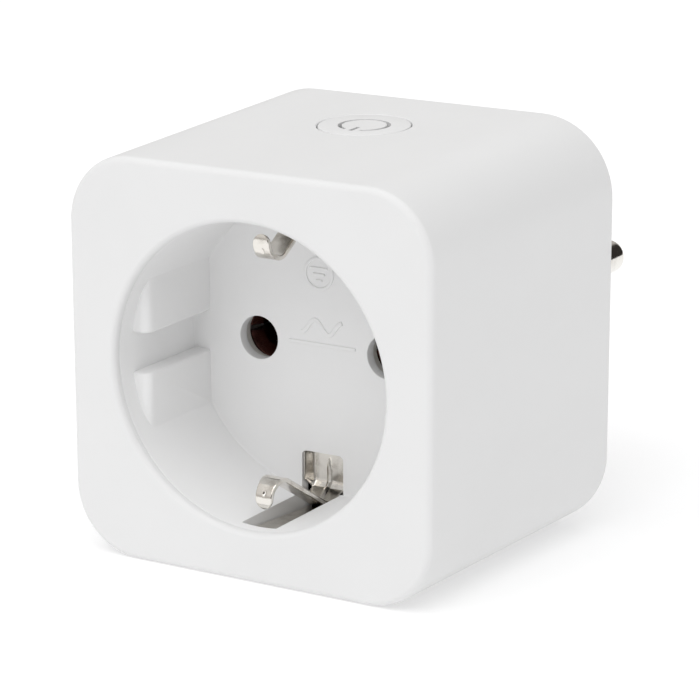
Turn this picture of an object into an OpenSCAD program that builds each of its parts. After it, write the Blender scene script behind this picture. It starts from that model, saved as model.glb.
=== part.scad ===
// Plug-in smart plug: a drafted cube housing with an earthed 16 A socket in the front face,
// a round plug boss with two pins at the back, and a push button in the top.
// Frame: +Z up, pins along +Y, socket face towards -Y. The origin is the centre of the boss
// face that meets the wall socket. Inside the modules, Y is the depth behind the front face.

/* [Housing] */
// Width and height of the front face
front_w = 52.2; // [52:0.1:52.4]
// Width and height at the back, wider by the moulding draft
back_w = 55; // [54.8:0.1:55.2]
// Depth of the housing without the plug boss
body_d = 45; // [44.8:0.1:45.2]
// Wall thickness
wall = 2; // [1.9:0.05:2.1]
// Corner radius at the front face
front_corner_r = 9; // [8.8:0.1:9.2]
// Corner radius at the back
back_corner_r = 10.3; // [10:0.1:10.5]
// Chamfer round the front face
edge_round = 0.8; // [0.6:0.1:1]

/* [Socket] */
// Radius of the round recess
recess_r = 19.6; // [19.5:0.05:19.7]
// Depth of the recess
recess_d = 18; // [17.8:0.1:18.1]
// Thickness of the recess floor
floor_t = 1.5; // [1.4:0.05:1.6]
// Radius of the two contact holes
contact_hole_r = 2.95; // [2.85:0.05:3.05]
// Distance between the two contacts, and between the two pins
pin_pitch = 19; // [18.9:0.1:19.1]
// Distance of the key pads' flat faces from the axis
key_x = 17; // [16.9:0.05:17.1]
// Half height of a pair of key pads
key_half_h = 9.8; // [9.6:0.1:10]
// Half width of the slot between two key pads
key_slot = 2.6; // [2.5:0.05:2.7]

/* [Plug] */
// Radius of the plug boss
boss_r = 18.5; // [18.4:0.05:18.6]
// Height of the plug boss behind the housing
boss_h = 18.5; // [18.3:0.1:18.6]
// Radius of a plug pin
pin_r = 2.4; // [2.38:0.01:2.42]
// Length of a plug pin beyond the boss face
pin_len = 19; // [18.8:0.1:19.2]
// Radius of a pin's seat in the boss face
pin_seat_r = 2.8; // [2.7:0.05:2.9]

/* [Button] */
// Radius of the button cap
button_r = 6; // [5.95:0.05:6.1]
// Depth of the button's centre behind the front face
button_d = 28.6; // [28.5:0.1:28.7]
// Height of the button board above the axis
button_board_z = 19.5; // [19.45:0.05:19.55]

/* [Earth contacts] */
// Thickness of the earth strip metal
strip_t = 0.6; // [0.5:0.05:0.6]
// Half width of the spring arms
arm_half_w = 1.5; // [1.4:0.05:1.6]
// Half width of the earth straps
strap_half_w = 2.3; // [2.2:0.05:2.35]

/* [Hidden] */
$fn = 64;

eps = 0.02;
front_y = -(body_d + boss_h);
front_wall = 2.2;
lip_t = 1.2;
cup_r = recess_r + 1.6;
floor_back = recess_d + floor_t;
draft_angle = atan((back_w - front_w) / 2 / body_d);
contact_x = pin_pitch / 2;

// Boards
board_t = 1.6;
board_front = body_d - 6.1;
board_back = board_front + board_t;
stud_end = board_front - 1;
button_board_t = 1;
switch_z = button_board_z + button_board_t;

// Back cover and its two screws, on opposite corners
cover_t = 2;
cover_front = body_d - cover_t;
cover_half = 25.2;
screw_at = 20.2;
post_r = 3.4;
screw_r = 1.2;
boss_hollow_r = 14.4;
boss_face_t = 2.3;
boss_face_in = body_d + boss_h - boss_face_t;
boss_flat_x = 16.6;
pin_root_h = 0.4;

// Earth contacts, drawn for the bottom side as depth and height
arm_crest = [6.3, -16.6];
arm_crest_r = 2.25;
arm_slope = 32.6;
arm_hinge = [17.3, -20.7];
trough_d = 2.75;
trough_half_w = 2.55;
trough_z = -22.1;
strap_z = 16;

// Relay, standing on the main board at the lower right
relay_x = [3.8, 22.4];
relay_z = [-22.2, -6.9];
relay_top = 23.2;
relay_foot = board_front - 0.7;
relay_wall = 0.8;
coil_x = 11.8;
coil_z = -14.55;
leaf_x = 19.8;

function housing_half(d) = (front_w + (back_w - front_w) * d / body_d) / 2;
function corner_at(d) = front_corner_r + (back_corner_r - front_corner_r) * d / body_d;
function unit(v) = v / norm(v);
function left_of(v) = [-v[1], v[0]];
function miter(p, i) =
    let(a = i == 0 ? unit(p[1] - p[0]) : unit(p[i] - p[i - 1]),
        b = i == len(p) - 1 ? a : unit(p[i + 1] - p[i]),
        m = unit(left_of(a) + left_of(b)))
    m / (m * left_of(a));
function ribbon(p, t) =
    concat([for (i = [0:len(p) - 1]) p[i] + miter(p, i) * t / 2],
           [for (i = [len(p) - 1:-1:0]) p[i] - miter(p, i) * t / 2]);
function arc_points(c, r, a0, a1, steps) =
    [for (i = [0:steps]) c + r * [cos(a0 + (a1 - a0) * i / steps), sin(a0 + (a1 - a0) * i / steps)]];

// Moves a sub-part from depths behind the front face into the part's frame
module placed() translate([0, front_y, 0]) children();
// A box from three pairs of limits
module block(x, y, z) translate([x[0], y[0], z[0]]) cube([x[1] - x[0], y[1] - y[0], z[1] - z[0]]);
// A cylinder along the plug axis between two depths
module rod_y(r, y0, y1) translate([0, y0, 0]) rotate([-90, 0, 0]) cylinder(r = r, h = y1 - y0);
// An outline in X and Z pushed along the plug axis between two depths
module along_y(y0, y1) translate([0, y1, 0]) rotate([90, 0, 0]) linear_extrude(y1 - y0) children();
// An outline in depth and Z, centred on X
module across_x(w) rotate([90, 0, 90]) translate([0, 0, -w / 2]) linear_extrude(w) children();
// A square with round corners
module round_square(half, r) {
    square([2 * half, 2 * (half - r)], center = true);
    square([2 * (half - r), 2 * half], center = true);
    for (x = [-1, 1], z = [-1, 1]) translate([x * (half - r), z * (half - r)]) circle(r);
}
// One thin slice of the drafted housing, inset from its outside
module slice(d, inset) {
    along_y(d, d + eps) round_square(housing_half(d) - inset, corner_at(d) - inset, $fn = 32);
}
module outer_shape() {
    hull() {
        slice(0, edge_round);
        slice(edge_round * 0.3, edge_round * 0.3);
        slice(edge_round, 0);
        slice(body_d - eps, 0);
    }
}
module inner_shape() {
    hull() {
        slice(front_wall, wall);
        slice(body_d + eps, wall);
    }
}
module both_screws() for (s = [-1, 1]) translate([s * screw_at, 0, s * screw_at]) children();
module both_contacts() for (s = [-1, 1]) translate([s * contact_x, 0, 0]) children();
module strip(path, half_w, t = strip_t) across_x(2 * half_w) polygon(ribbon(path, t));
module upside() mirror([0, 0, 1]) children();

// ---- Housing, socket and back cover ----

module housing() color("white") placed() difference() {
    union() {
        difference() {
            outer_shape();
            inner_shape();
        }
        both_screws() rod_y(post_r, front_wall - 0.2, cover_front);
        for (s = [-1, 1]) {
            block([s * screw_at - 0.7, s * screw_at + 0.7], [front_wall - 0.2, cover_front],
                  s > 0 ? [screw_at, 25] : [-25, -screw_at]);
            block(s > 0 ? [screw_at, 25] : [-25, -screw_at], [front_wall - 0.2, cover_front],
                  [s * screw_at - 0.7, s * screw_at + 0.7]);
        }
    }
    rod_y(recess_r, -1, front_wall + 1);
    translate([0, -eps, 0]) rotate([-90, 0, 0])
        cylinder(r1 = recess_r + 0.6, r2 = recess_r - 0.02, h = 0.7);
    rod_y(cup_r + 0.1, lip_t, front_wall + 1);
    both_screws() rod_y(screw_r + 0.05, 30, cover_front + 1);
    translate([0, button_d, 20]) cylinder(r = button_r + 0.15, h = 10);
}

// The flat-faced key pads on both sides of the recess
module key_pads() {
    for (sx = [-1, 1], sz = [-1, 1]) {
        block(sx > 0 ? [key_x, cup_r] : [-cup_r, -key_x], [4, recess_d + 0.1],
              sz > 0 ? [key_slot, key_half_h] : [-key_half_h, -key_slot]);
    }
}
// Raised marks on the recess floor: a rating bar with a wave, and a ringed earth symbol
module floor_marks() {
    along_y(recess_d - 0.15, recess_d + 0.1) {
        translate([0, 0.3]) square([10, 0.5], center = true);
        for (i = [0:2]) {
            translate([-2 + 2 * i, 2.6]) intersection() {
                difference() {
                    circle(1.25);
                    circle(0.75);
                }
                translate([-1.25, i % 2 == 0 ? 0 : -1.25]) square([2.5, 1.25]);
            }
        }
        translate([-0.4, 9.6]) {
            difference() {
                circle(2.2);
                circle(1.8);
            }
            for (i = [0:2]) translate([0, 0.7 - 0.8 * i]) square([2.6 - 0.8 * i, 0.3], center = true);
        }
    }
}
module socket_insert() color("white") placed() {
    difference() {
        union() {
            rod_y(cup_r, lip_t, floor_back);
            for (s = [-1, 1]) {
                block([-3.9, 3.9], [front_wall + 0.1, floor_back], s > 0 ? [18, 23.4] : [-23.4, -18]);
            }
        }
        difference() {
            rod_y(recess_r, lip_t - 1, recess_d);
            key_pads();
        }
        for (s = [-1, 1]) {
            block([-trough_half_w, trough_half_w], [trough_d, floor_back + 1],
                  s > 0 ? [17, -trough_z] : [trough_z, -17]);
            block([-3.1, 3.1], [recess_d - 1, floor_back + 1], s > 0 ? [14.1, 20.4] : [-20.4, -14.1]);
        }
        both_contacts() rod_y(contact_hole_r, recess_d - 1, floor_back + 1);
    }
    floor_marks();
}

module back_cover() color("whitesmoke") placed() difference() {
    union() {
        along_y(cover_front, body_d) round_square(cover_half, back_corner_r - wall - 0.3);
        rod_y(boss_r, body_d - 0.1, body_d + boss_h);
    }
    rod_y(boss_hollow_r, cover_front - 1, boss_face_in);
    for (s = [-1, 1]) {
        difference() {
            block(s > 0 ? [boss_flat_x, 20] : [-20, -boss_flat_x],
                  [body_d, body_d + boss_h + 1], [-12, 12]);
            block([-boss_flat_x - 1, boss_flat_x + 1], [body_d - 1, body_d + boss_h + 1], [-2.3, 2.3]);
        }
        block([-strap_half_w - 0.3, strap_half_w + 0.3], [body_d, body_d + boss_h + 1],
              s > 0 ? [strap_z - strip_t / 2, 20] : [-20, -strap_z + strip_t / 2]);
        block([-strap_half_w - 0.2, strap_half_w + 0.2], [cover_front - 1, body_d + 1],
              s > 0 ? [strap_z - 0.5, strap_z + 0.5] : [-strap_z - 0.5, -strap_z + 0.5]);
    }
    both_contacts() rod_y(pin_seat_r, boss_face_in - 1, body_d + boss_h + 1);
    both_screws() {
        rod_y(screw_r + 0.3, cover_front - 1, body_d + 1);
        rod_y(2.9, body_d - 1.3, body_d + 1);
    }
}

module cover_screws() color("silver") placed() both_screws() difference() {
    union() {
        rod_y(screw_r, 32, body_d - 1);
        rod_y(2.7, body_d - 1.3, body_d - 0.1);
    }
    for (a = [0, 90]) translate([0, body_d, 0]) rotate([0, a, 0]) cube([3, 1.6, 0.6], center = true);
}

// ---- Button, light guide and switch ----

button_top_z = housing_half(button_d);
stem_z = switch_z + 3.95;
plate_z = button_top_z - 1.4;
guide_z = plate_z - 0.7;

// The ringed bar of the on/off symbol: its bar points to the front face
module power_symbol(grow) {
    difference() {
        circle(3.35 + grow);
        circle(2.95 - grow);
        translate([-1.1 + grow, -5]) square([2.2 - 2 * grow, 5]);
    }
    translate([-0.22 - grow, -3.6 - grow]) square([0.44 + 2 * grow, 2.3 + 2 * grow]);
}
module button_cap() color("white") placed() translate([0, button_d, 0]) difference() {
    union() {
        translate([0, 0, guide_z - 0.8]) cylinder(r = button_r, h = 4);
        translate([0, 0, guide_z - 0.8]) cylinder(r = button_r + 0.8, h = 0.4);
    }
    difference() {
        translate([0, 0, guide_z - 2]) cylinder(r = button_r - 0.9, h = 2 + plate_z - guide_z);
        translate([0, 0, stem_z]) cylinder(r = 1.8, h = 3);
    }
    translate([0, 0, button_top_z]) rotate([draft_angle, 0, 0]) translate([-10, -10, 0]) cube([20, 20, 4]);
    translate([0, 0, plate_z - 0.1]) linear_extrude(3) power_symbol(0.05);
}
module light_guide() color("gray") placed() translate([0, button_d, 0]) {
    difference() {
        translate([0, 0, guide_z]) cylinder(r = button_r - 1, h = plate_z - guide_z);
        translate([0, 0, guide_z - 1]) cylinder(r = 1.9, h = 3);
    }
    translate([0, 0, plate_z - 0.1]) linear_extrude(0.65) power_symbol(0);
}
module switch_body() color("dimgray") placed() translate([0, button_d, switch_z]) difference() {
    block([-3, 3], [-3, 3], [0, 3.1]);
    translate([0, 0, 1.5]) cylinder(r = 1.75, h = 2);
}
module switch_plunger() color("black") placed() translate([0, button_d, switch_z]) {
    translate([0, 0, 2]) cylinder(r = 1.7, h = 1.9);
}

// ---- Boards and their parts ----

module button_board() color("darkgreen") placed() difference() {
    block([-14, 14], [floor_back + 0.6, board_front], [button_board_z, button_board_z + button_board_t]);
    block([-2.8, 2.8], [floor_back, 24.8], [button_board_z - 1, button_board_z + 2]);
}
module indicator_leds() color("lightyellow") placed() translate([0, button_d, switch_z]) {
    for (s = [-1, 1]) block([s * 4.4 - 0.5, s * 4.4 + 0.5], [-0.8, 0.8], [0, 0.7]);
}
module main_board() color("darkgreen") placed() difference() {
    along_y(board_front, board_back) round_square(23.4, 7);
    both_screws() rod_y(post_r + 0.4, board_front - 1, board_back + 1);
    for (s = [-1, 1]) {
        block([-strap_half_w - 0.3, strap_half_w + 0.3], [board_front - 1, board_back + 1],
              s > 0 ? [strap_z - 0.6, strap_z + 0.6] : [-strap_z - 0.6, -strap_z + 0.6]);
        translate([s * contact_x, 0, 0]) {
            rod_y(1.7, board_front - 1, board_back + 1);
            block([-1.4, 1.4], [board_front - 1, board_back + 1], [3.1, 4.1]);
        }
    }
}
module wifi_board() color("darkgreen") placed() {
    block([-15.6, -14.8], [21, board_front], [7.5, 19]);
}
module wifi_shield() color("silver") placed() difference() {
    block([-18, -15.6], [23, 34], [9, 18]);
    block([-17.7, -15.5], [23.3, 33.7], [9.3, 17.7]);
}

module transformer_core() color("dimgray") placed() translate([-9.4, 33, -11.6]) {
    difference() {
        block([-5.6, 5.6], [-5, 5.6], [-2.4, 2.4]);
        block([-4.2, -1.6], [-3.6, 4.2], [-3, 3]);
        block([1.6, 4.2], [-3.6, 4.2], [-3, 3]);
    }
}
module transformer_bobbin() color("black") placed() translate([-9.4, 33, -11.6]) difference() {
    union() {
        block([-4.15, 4.15], [-3.5, -2.9], [-4, 4]);
        block([-4.15, 4.15], [3.5, 4.1], [-4, 4]);
        block([-2.1, 2.1], [-3.5, 4.1], [-2.9, 2.9]);
    }
    block([-1.65, 1.65], [-4, 5], [-2.45, 2.45]);
}
module transformer_winding() color("gold") placed() translate([-9.4, 33, -11.6]) difference() {
    block([-3.9, 3.9], [-2.85, 3.45], [-3.9, 3.9]);
    block([-2.15, 2.15], [-3, 4], [-2.95, 2.95]);
}
module supply_capacitors() color("black") placed() {
    for (p = [[-6.4, -20.6], [-13.2, -20.6]]) translate([p[0], 0, p[1]]) rod_y(3.1, 27, board_front);
}
module filter_capacitor() color("goldenrod") placed() {
    block([16.2, 21.6], [27.5, board_front], [-6, 6]);
}
module varistor() color("royalblue") placed() translate([-21.4, 33.6, 1]) {
    rotate([0, 90, 0]) cylinder(r = 4.6, h = 4);
    for (z = [-2.5, 2.5]) translate([2, 0, z]) rod_y(0.35, 3, board_front - 33.6);
}
module fuse_resistor() color("tan") placed() translate([13.8, 0, 11]) rod_y(1.9, 29, board_front);
module choke() color("dimgray") placed() translate([8, 0, 11]) {
    rod_y(3.4, 29, 30);
    rod_y(2.6, 30, 37.9);
    rod_y(3.4, 37.9, board_front);
}

// ---- Relay: its armature and leaf swing towards the coil ----

module relay_case() color("black") placed() difference() {
    block(relay_x, [relay_top, relay_foot], relay_z);
    block([relay_x[0] + relay_wall, relay_x[1] - relay_wall], [relay_top + relay_wall, relay_foot + 1],
          [relay_z[0] + relay_wall, relay_z[1] - relay_wall]);
}
module relay_base() color("darkslategray") placed() {
    block([relay_x[0] + 0.9, relay_x[1] - 0.9], [relay_foot - 1.6, relay_foot - 0.1],
          [relay_z[0] + 0.9, relay_z[1] - 0.9]);
}
module relay_bobbin() color("ivory") placed() translate([coil_x, 0, coil_z]) difference() {
    union() {
        block([-5.1, 5.1], [26, 26.7], [-5.4, 5.4]);
        block([-5.1, 5.1], [34.6, 35.3], [-5.4, 5.4]);
        rod_y(2.9, 26, 35.3);
    }
    rod_y(2.25, 25, 36);
}
module relay_coil() color("orangered") placed() translate([coil_x, 0, coil_z]) difference() {
    rod_y(4.9, 26.75, 34.55);
    rod_y(2.95, 26, 36);
}
module relay_yoke() color("silver") placed() {
    translate([coil_x, 0, coil_z]) rod_y(2.2, 25.7, 36);
    block([5.2, 6.5], [25.3, 36.5], [coil_z - 4.5, coil_z + 4.5]);
    block([5.2, 15], [35.4, 36.5], [coil_z - 4.5, coil_z + 4.5]);
}
module relay_armature() color("silver") placed() {
    block([5.3, 15.2], [24.5, 25.1], [coil_z - 4.3, coil_z + 4.3]);
}
module relay_leaf() color("peru") placed() {
    block([12.5, 21], [24.3, 24.5], [coil_z - 2.2, coil_z + 2.2]);
    translate([leaf_x, 0, coil_z]) rod_y(1, 24.5, 25);
}
module relay_contacts() color("goldenrod") placed() {
    translate([leaf_x, 0, coil_z]) rod_y(1, 26, 26.5);
    block([18.2, 20.9], [26.5, 27], [coil_z - 1.8, coil_z + 1.8]);
    block([20.4, 20.9], [26.5, relay_foot - 1.6], [coil_z - 1.8, coil_z + 1.8]);
}

// ---- Current path: pins, contacts and bars ----

module contact_carrier() color("whitesmoke") placed() difference() {
    union() {
        block([-16.5, 16.5], [floor_back + 0.2, floor_back + 1.5], [-6.4, 6.4]);
        both_contacts() rod_y(5.5, floor_back + 0.2, 35);
    }
    both_contacts() {
        rod_y(3.2, floor_back - 1, floor_back + 2);
        rod_y(4.7, floor_back + 1.5, 36);
    }
}
// A two-leaf tulip that grips a plug pin, with a tail through the board
module contact_tulip() {
    difference() {
        translate([0, 21.6, 0]) rotate([-90, 0, 0]) rotate_extrude() polygon([
            [3.4, 0], [4, 0], [3.6, 1.6], [3.6, 14.6], [0, 14.6], [0, 13.4], [2.5, 13.4], [2.5, 1.6]]);
        block([-5, 5], [21, 33], [-0.4, 0.4]);
    }
    block([-1.2, 1.2], [35, 36.2], [0, 4]);
    block([-1.2, 1.2], [35, board_back + 0.7], [3.2, 4]);
}
module live_contact() color("goldenrod") placed() translate([contact_x, 0, 0]) contact_tulip();
module neutral_contact() color("goldenrod") placed() translate([-contact_x, 0, 0]) contact_tulip();
module contact_springs() color("silver") placed() both_contacts() difference() {
    rod_y(4.2, 25, 28);
    rod_y(3.65, 24, 29);
    block([-5, 5], [24, 29], [-5, -2.8]);
}
// A turned pin: round tip, shank, conical root, seat, flange behind the boss face and a stud
module plug_pin() translate([0, body_d + boss_h, 0]) rotate([-90, 0, 0]) rotate_extrude() polygon(concat(
    [[0, stud_end - body_d - boss_h], [1.6, stud_end - body_d - boss_h], [1.6, -boss_face_t - 1.6],
     [3.6, -boss_face_t - 1.6], [3.6, -boss_face_t], [pin_seat_r, -boss_face_t],
     [pin_seat_r, 0], [pin_r, pin_root_h]],
    [for (a = [0:15:90]) [pin_r * cos(a), pin_len - 2 + 2 * sin(a)]]));
module live_pin() color("silver") placed() translate([contact_x, 0, 0]) plug_pin();
module neutral_pin() color("silver") placed() translate([-contact_x, 0, 0]) plug_pin();
module pin_retainer() color("whitesmoke") placed() difference() {
    rod_y(boss_hollow_r - 0.2, boss_face_in - 3.1, boss_face_in - 1.65);
    both_contacts() rod_y(1.65, boss_face_in - 4, boss_face_in);
}
module live_busbar() color("goldenrod") placed() difference() {
    block([contact_x - 1.9, contact_x + 1.9], [board_front - 0.6, board_front], [-13, 2.2]);
    translate([contact_x, 0, 0]) rod_y(1.65, 30, 45);
}
module neutral_busbar() color("goldenrod") placed() difference() {
    block([-contact_x - 2.6, -contact_x + 2.6], [board_front - 0.6, board_front], [-2.4, 5]);
    translate([-contact_x, 0, 0]) rod_y(1.65, 30, 45);
    block([-contact_x - 1.25, -contact_x + 1.25], [30, 45], [3.15, 4.05]);
}
module load_busbar() color("goldenrod") placed() difference() {
    union() {
        block([contact_x - 2, 21.4], [board_back, board_back + 0.6], [2.6, 5]);
        block([18.8, 21.4], [board_back, board_back + 0.6], [-15.5, 5]);
    }
    block([contact_x - 1.25, contact_x + 1.25], [30, 45], [3.15, 4.05]);
}

// ---- Earth path: a clip and its spring arm in the recess, and a strap to the plug side ----

module earth_clip() difference() {
    strip([[31, -15.4], [27.8, -15.4], [25.4, -12.6], [21.1, -12.6], [20.5, -12.9],
        [20.3, -13.6], [20.3, -18.2], [20.1, -18.9], [19.6, -19.4], [17.69, -20.5]], 2.7);
    for (s = [-1, 1]) block(s > 0 ? [2, 3] : [-3, -2], [17, 19.7], [-21, -19.2]);
}
module earth_arm() {
    strip(concat(arc_points(arm_crest, arm_crest_r, 205, 90 - arm_slope, 12), [arm_hinge]), arm_half_w);
    across_x(2 * arm_half_w) translate(arm_hinge) circle(strip_t / 2);
}
module earth_strap() strip([[3, -20.75], [16, -21.75], [21.8, -21.75], [25.6, -strap_z],
    [body_d + boss_h - 1.2, -strap_z]], strap_half_w);
module earth_clip_top() color("silver") placed() upside() earth_clip();
module earth_clip_bottom() color("silver") placed() earth_clip();
module earth_arm_top() color("silver") placed() upside() earth_arm();
module earth_arm_bottom() color("silver") placed() earth_arm();
module earth_strap_top() color("silver") placed() upside() earth_strap();
module earth_strap_bottom() color("silver") placed() earth_strap();

housing();
socket_insert();
back_cover();
cover_screws();
button_cap();
light_guide();
switch_body();
switch_plunger();
button_board();
indicator_leds();
main_board();
wifi_board();
wifi_shield();
relay_case();
relay_base();
relay_bobbin();
relay_coil();
relay_yoke();
relay_armature();
relay_leaf();
relay_contacts();
transformer_core();
transformer_bobbin();
transformer_winding();
supply_capacitors();
filter_capacitor();
varistor();
fuse_resistor();
choke();
contact_carrier();
live_contact();
neutral_contact();
contact_springs();
live_pin();
neutral_pin();
pin_retainer();
live_busbar();
neutral_busbar();
load_busbar();
earth_clip_top();
earth_clip_bottom();
earth_arm_top();
earth_arm_bottom();
earth_strap_top();
earth_strap_bottom();
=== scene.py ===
"""The looks of the smart plug: its pieces, their materials, the floor, the light and the camera.

Shapes are drawn in millimetres and become metres when their mesh is made. Depths are measured
behind the front face, X is to the right seen from the socket side, and Z is up.
"""
import math

import bmesh
import bpy
from mathutils import Matrix, Vector
from mathutils.geometry import delaunay_2d_cdt


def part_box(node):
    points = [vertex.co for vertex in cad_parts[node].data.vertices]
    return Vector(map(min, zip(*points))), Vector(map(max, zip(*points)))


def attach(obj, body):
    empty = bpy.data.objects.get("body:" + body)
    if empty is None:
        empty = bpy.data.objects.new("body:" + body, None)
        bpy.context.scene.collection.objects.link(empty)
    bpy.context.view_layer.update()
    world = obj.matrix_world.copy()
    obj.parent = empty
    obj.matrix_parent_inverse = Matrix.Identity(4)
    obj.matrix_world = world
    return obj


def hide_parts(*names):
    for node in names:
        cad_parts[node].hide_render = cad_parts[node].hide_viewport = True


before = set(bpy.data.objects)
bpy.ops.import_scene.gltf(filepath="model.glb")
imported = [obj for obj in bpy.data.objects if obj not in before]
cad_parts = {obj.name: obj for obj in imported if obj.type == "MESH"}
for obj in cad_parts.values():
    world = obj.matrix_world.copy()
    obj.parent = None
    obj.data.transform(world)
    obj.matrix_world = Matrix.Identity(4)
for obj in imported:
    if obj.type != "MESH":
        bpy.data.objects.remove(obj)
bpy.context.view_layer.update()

MM = 0.001
BODY = "body"
SIDES = (-1, 1)
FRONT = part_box("housing")[0].y / MM


def node_box(name):
    """The lowest and highest corner of a CAD node, as (X, depth, Z) in millimetres."""
    return [corner / MM - Vector((0, FRONT, 0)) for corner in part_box(name)]


# ---- Driving dimensions, in millimetres ----

BACK_HALF, BODY_D, _ = node_box("housing")[1]
FRONT_HALF = BACK_HALF - 1.4
FRONT_CORNER = 9.0
BACK_CORNER = 10.3
WALL = 2.0
FRONT_WALL = 2.2
EDGE = 0.9
RECESS_R = 19.6
RECESS_D = 18.0
FLOOR_BACK = 19.5
LIP_D = 1.2
LIP_ROUND = 0.75
LIP_ROUND_D = 0.85
CUP_R = 21.2
HOLE_R = 2.85
CONTACT_X = node_box("live_contact")[0].x + 4.0
KEY_X = 17.0
KEY_HALF_H = 9.8
KEY_SLOT = 2.6
KEY_FRONT = 3.9
TROUGH_HALF = 2.55
TROUGH_Z = 22.1
TROUGH_D = 2.75
WINDOW_HALF = 3.1
WINDOW_Z = (14.1, 20.4)
button_low, button_high = node_box("button_cap")
BUTTON_D = (button_low.y + button_high.y) / 2
BUTTON_R = button_high.x - 0.8
BUTTON_GAP = 0.15
PLUNGER_TOP = node_box("switch_plunger")[1].z
PLUG_D = -FRONT
BOSS_R = 18.5
FACE_IN = PLUG_D - 2.3
PLATE_FRONT = BODY_D - 2.0
HEAD_SEAT = BODY_D - 1.3
SCREW_AT = 20.2
STRIP_T = 0.6
PIN_R = 2.4
STUD_R = 1.6
BOARD_FRONT = node_box("main_board")[0].y
BOARD_HALF, BOARD_BACK, _ = node_box("main_board")[1]
KEY_BOARD_Z = node_box("button_board")[1].z


def half_at(d):
    """Half the housing's width at a depth."""
    return FRONT_HALF + (BACK_HALF - FRONT_HALF) * d / BODY_D


def corner_at(d):
    """The housing's corner radius at a depth."""
    return FRONT_CORNER + (BACK_CORNER - FRONT_CORNER) * d / BODY_D


def span(side, a, b):
    """Two distances on one side of the middle, the lower first."""
    return sorted((side * a, side * b))


# ---- Where a flat outline goes: u and v lie in its plane, and t is across it ----

def face_on(x=0.0, z=0.0):
    """u is X, v is Z and t is the depth."""
    return lambda u, v, t: Vector((x + u, FRONT + t, z + v))


def top_down(x=0.0, d=0.0):
    """u is X, v is the depth and t is Z."""
    return lambda u, v, t: Vector((x + u, FRONT + d + v, t))


def side_on(x=0.0, d=0.0, z=0.0):
    """u is the depth, v is Z and t is X."""
    return lambda u, v, t: Vector((x + t, FRONT + d + u, z + v))


CONTACTS = [face_on(side * CONTACT_X) for side in SIDES]
SCREWS = [face_on(side * SCREW_AT, side * SCREW_AT) for side in SIDES]


# ---- Outlines ----

def circle(radius, count=48, at=(0.0, 0.0)):
    """A closed ring of points."""
    turns = [2 * math.pi * i / count for i in range(count)]
    return [Vector((at[0] + radius * math.cos(a), at[1] + radius * math.sin(a))) for a in turns]


def arc(radius, start, end, steps, at=(0.0, 0.0)):
    """Points along an arc, with its ends in degrees."""
    angles = [math.radians(start + (end - start) * i / steps) for i in range(steps + 1)]
    return [Vector((at[0] + radius * math.cos(a), at[1] + radius * math.sin(a))) for a in angles]


def quarter(steps):
    """The pairs (1 - cosine, 1 - sine) of even steps over a quarter turn, to round an edge with."""
    turns = [math.pi / 2 * k / steps for k in range(steps + 1)]
    return [(1 - math.cos(a), 1 - math.sin(a)) for a in turns]


def rectangle(u0, u1, v0, v1):
    """A closed outline of four corners."""
    return [Vector((u0, v0)), Vector((u1, v0)), Vector((u1, v1)), Vector((u0, v1))]


def fillet(points, radius, steps=5, closed=True):
    """The same line with its corners rounded. radius is one number, or one for each corner."""
    points = [Vector(p) for p in points]
    rounded = []
    for i, corner in enumerate(points):
        r = radius[i] if hasattr(radius, "__len__") else radius
        if r <= 0 or (not closed and i in (0, len(points) - 1)):
            rounded.append(corner)
            continue
        back = points[i - 1] - corner
        ahead = points[(i + 1) % len(points)] - corner
        room = 0.49 * min(back.length, ahead.length)
        back.normalize()
        ahead.normalize()
        half = back.angle(ahead) / 2
        if half > math.radians(89.5):
            rounded.append(corner)
            continue
        reach = min(r / math.tan(half), room)
        centre = corner + (back + ahead).normalized() * (reach / math.cos(half))
        a = corner + back * reach - centre
        b = corner + ahead * reach - centre
        turn = a.angle(b)
        for k in range(steps + 1):
            t = k / steps
            share = (a * math.sin((1 - t) * turn) + b * math.sin(t * turn)) / math.sin(turn)
            rounded.append(centre + share)
    return rounded


def oblong(half_u, half_v, radius, steps=5):
    """A rectangle about the middle, with round corners."""
    return fillet(rectangle(-half_u, half_u, -half_v, half_v), radius, steps)


def grow(loop, amount):
    """A closed outline moved outwards, or inwards where amount is negative."""
    count = len(loop)
    area = sum(loop[i - 1].x * loop[i].y - loop[i].x * loop[i - 1].y for i in range(count))
    side = amount if area > 0 else -amount
    moved = []
    for i, p in enumerate(loop):
        a = (p - loop[i - 1]).normalized()
        b = (loop[(i + 1) % count] - p).normalized()
        normal = Vector((a.y + b.y, -a.x - b.x)) / max(1 + a.dot(b), 0.2)
        moved.append(p + normal * side)
    return moved


def round_square(half, radius, steps=16, straight=24):
    """A square outline with round corners, with points along its straight sides too."""
    points = []
    for quarter_turn in range(4):
        turn = Matrix.Rotation(math.radians(90 * quarter_turn), 2)
        reach = half - radius
        side = [Vector((half, -reach + 2 * reach * i / straight)) for i in range(straight)]
        corner = arc(radius, 0, 90, steps, (reach, reach))
        points += [turn @ p for p in side + corner[:-1]]
    return points


def inside(point, loops):
    """True if a point is inside an odd number of the loops."""
    crossings = 0
    for loop in loops:
        for i, b in enumerate(loop):
            a = loop[i - 1]
            if (a.y > point.y) != (b.y > point.y):
                if point.x < a.x + (point.y - a.y) / (b.y - a.y) * (b.x - a.x):
                    crossings += 1
    return crossings % 2 == 1


# ---- Solids, as lists of vertices and faces ----

def join(*parts):
    """Several solids as one list of vertices and faces."""
    verts, faces = [], []
    for part_verts, part_faces in parts:
        first = len(verts)
        verts += part_verts
        faces += [tuple(first + i for i in face) for face in part_faces]
    return verts, faces


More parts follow.
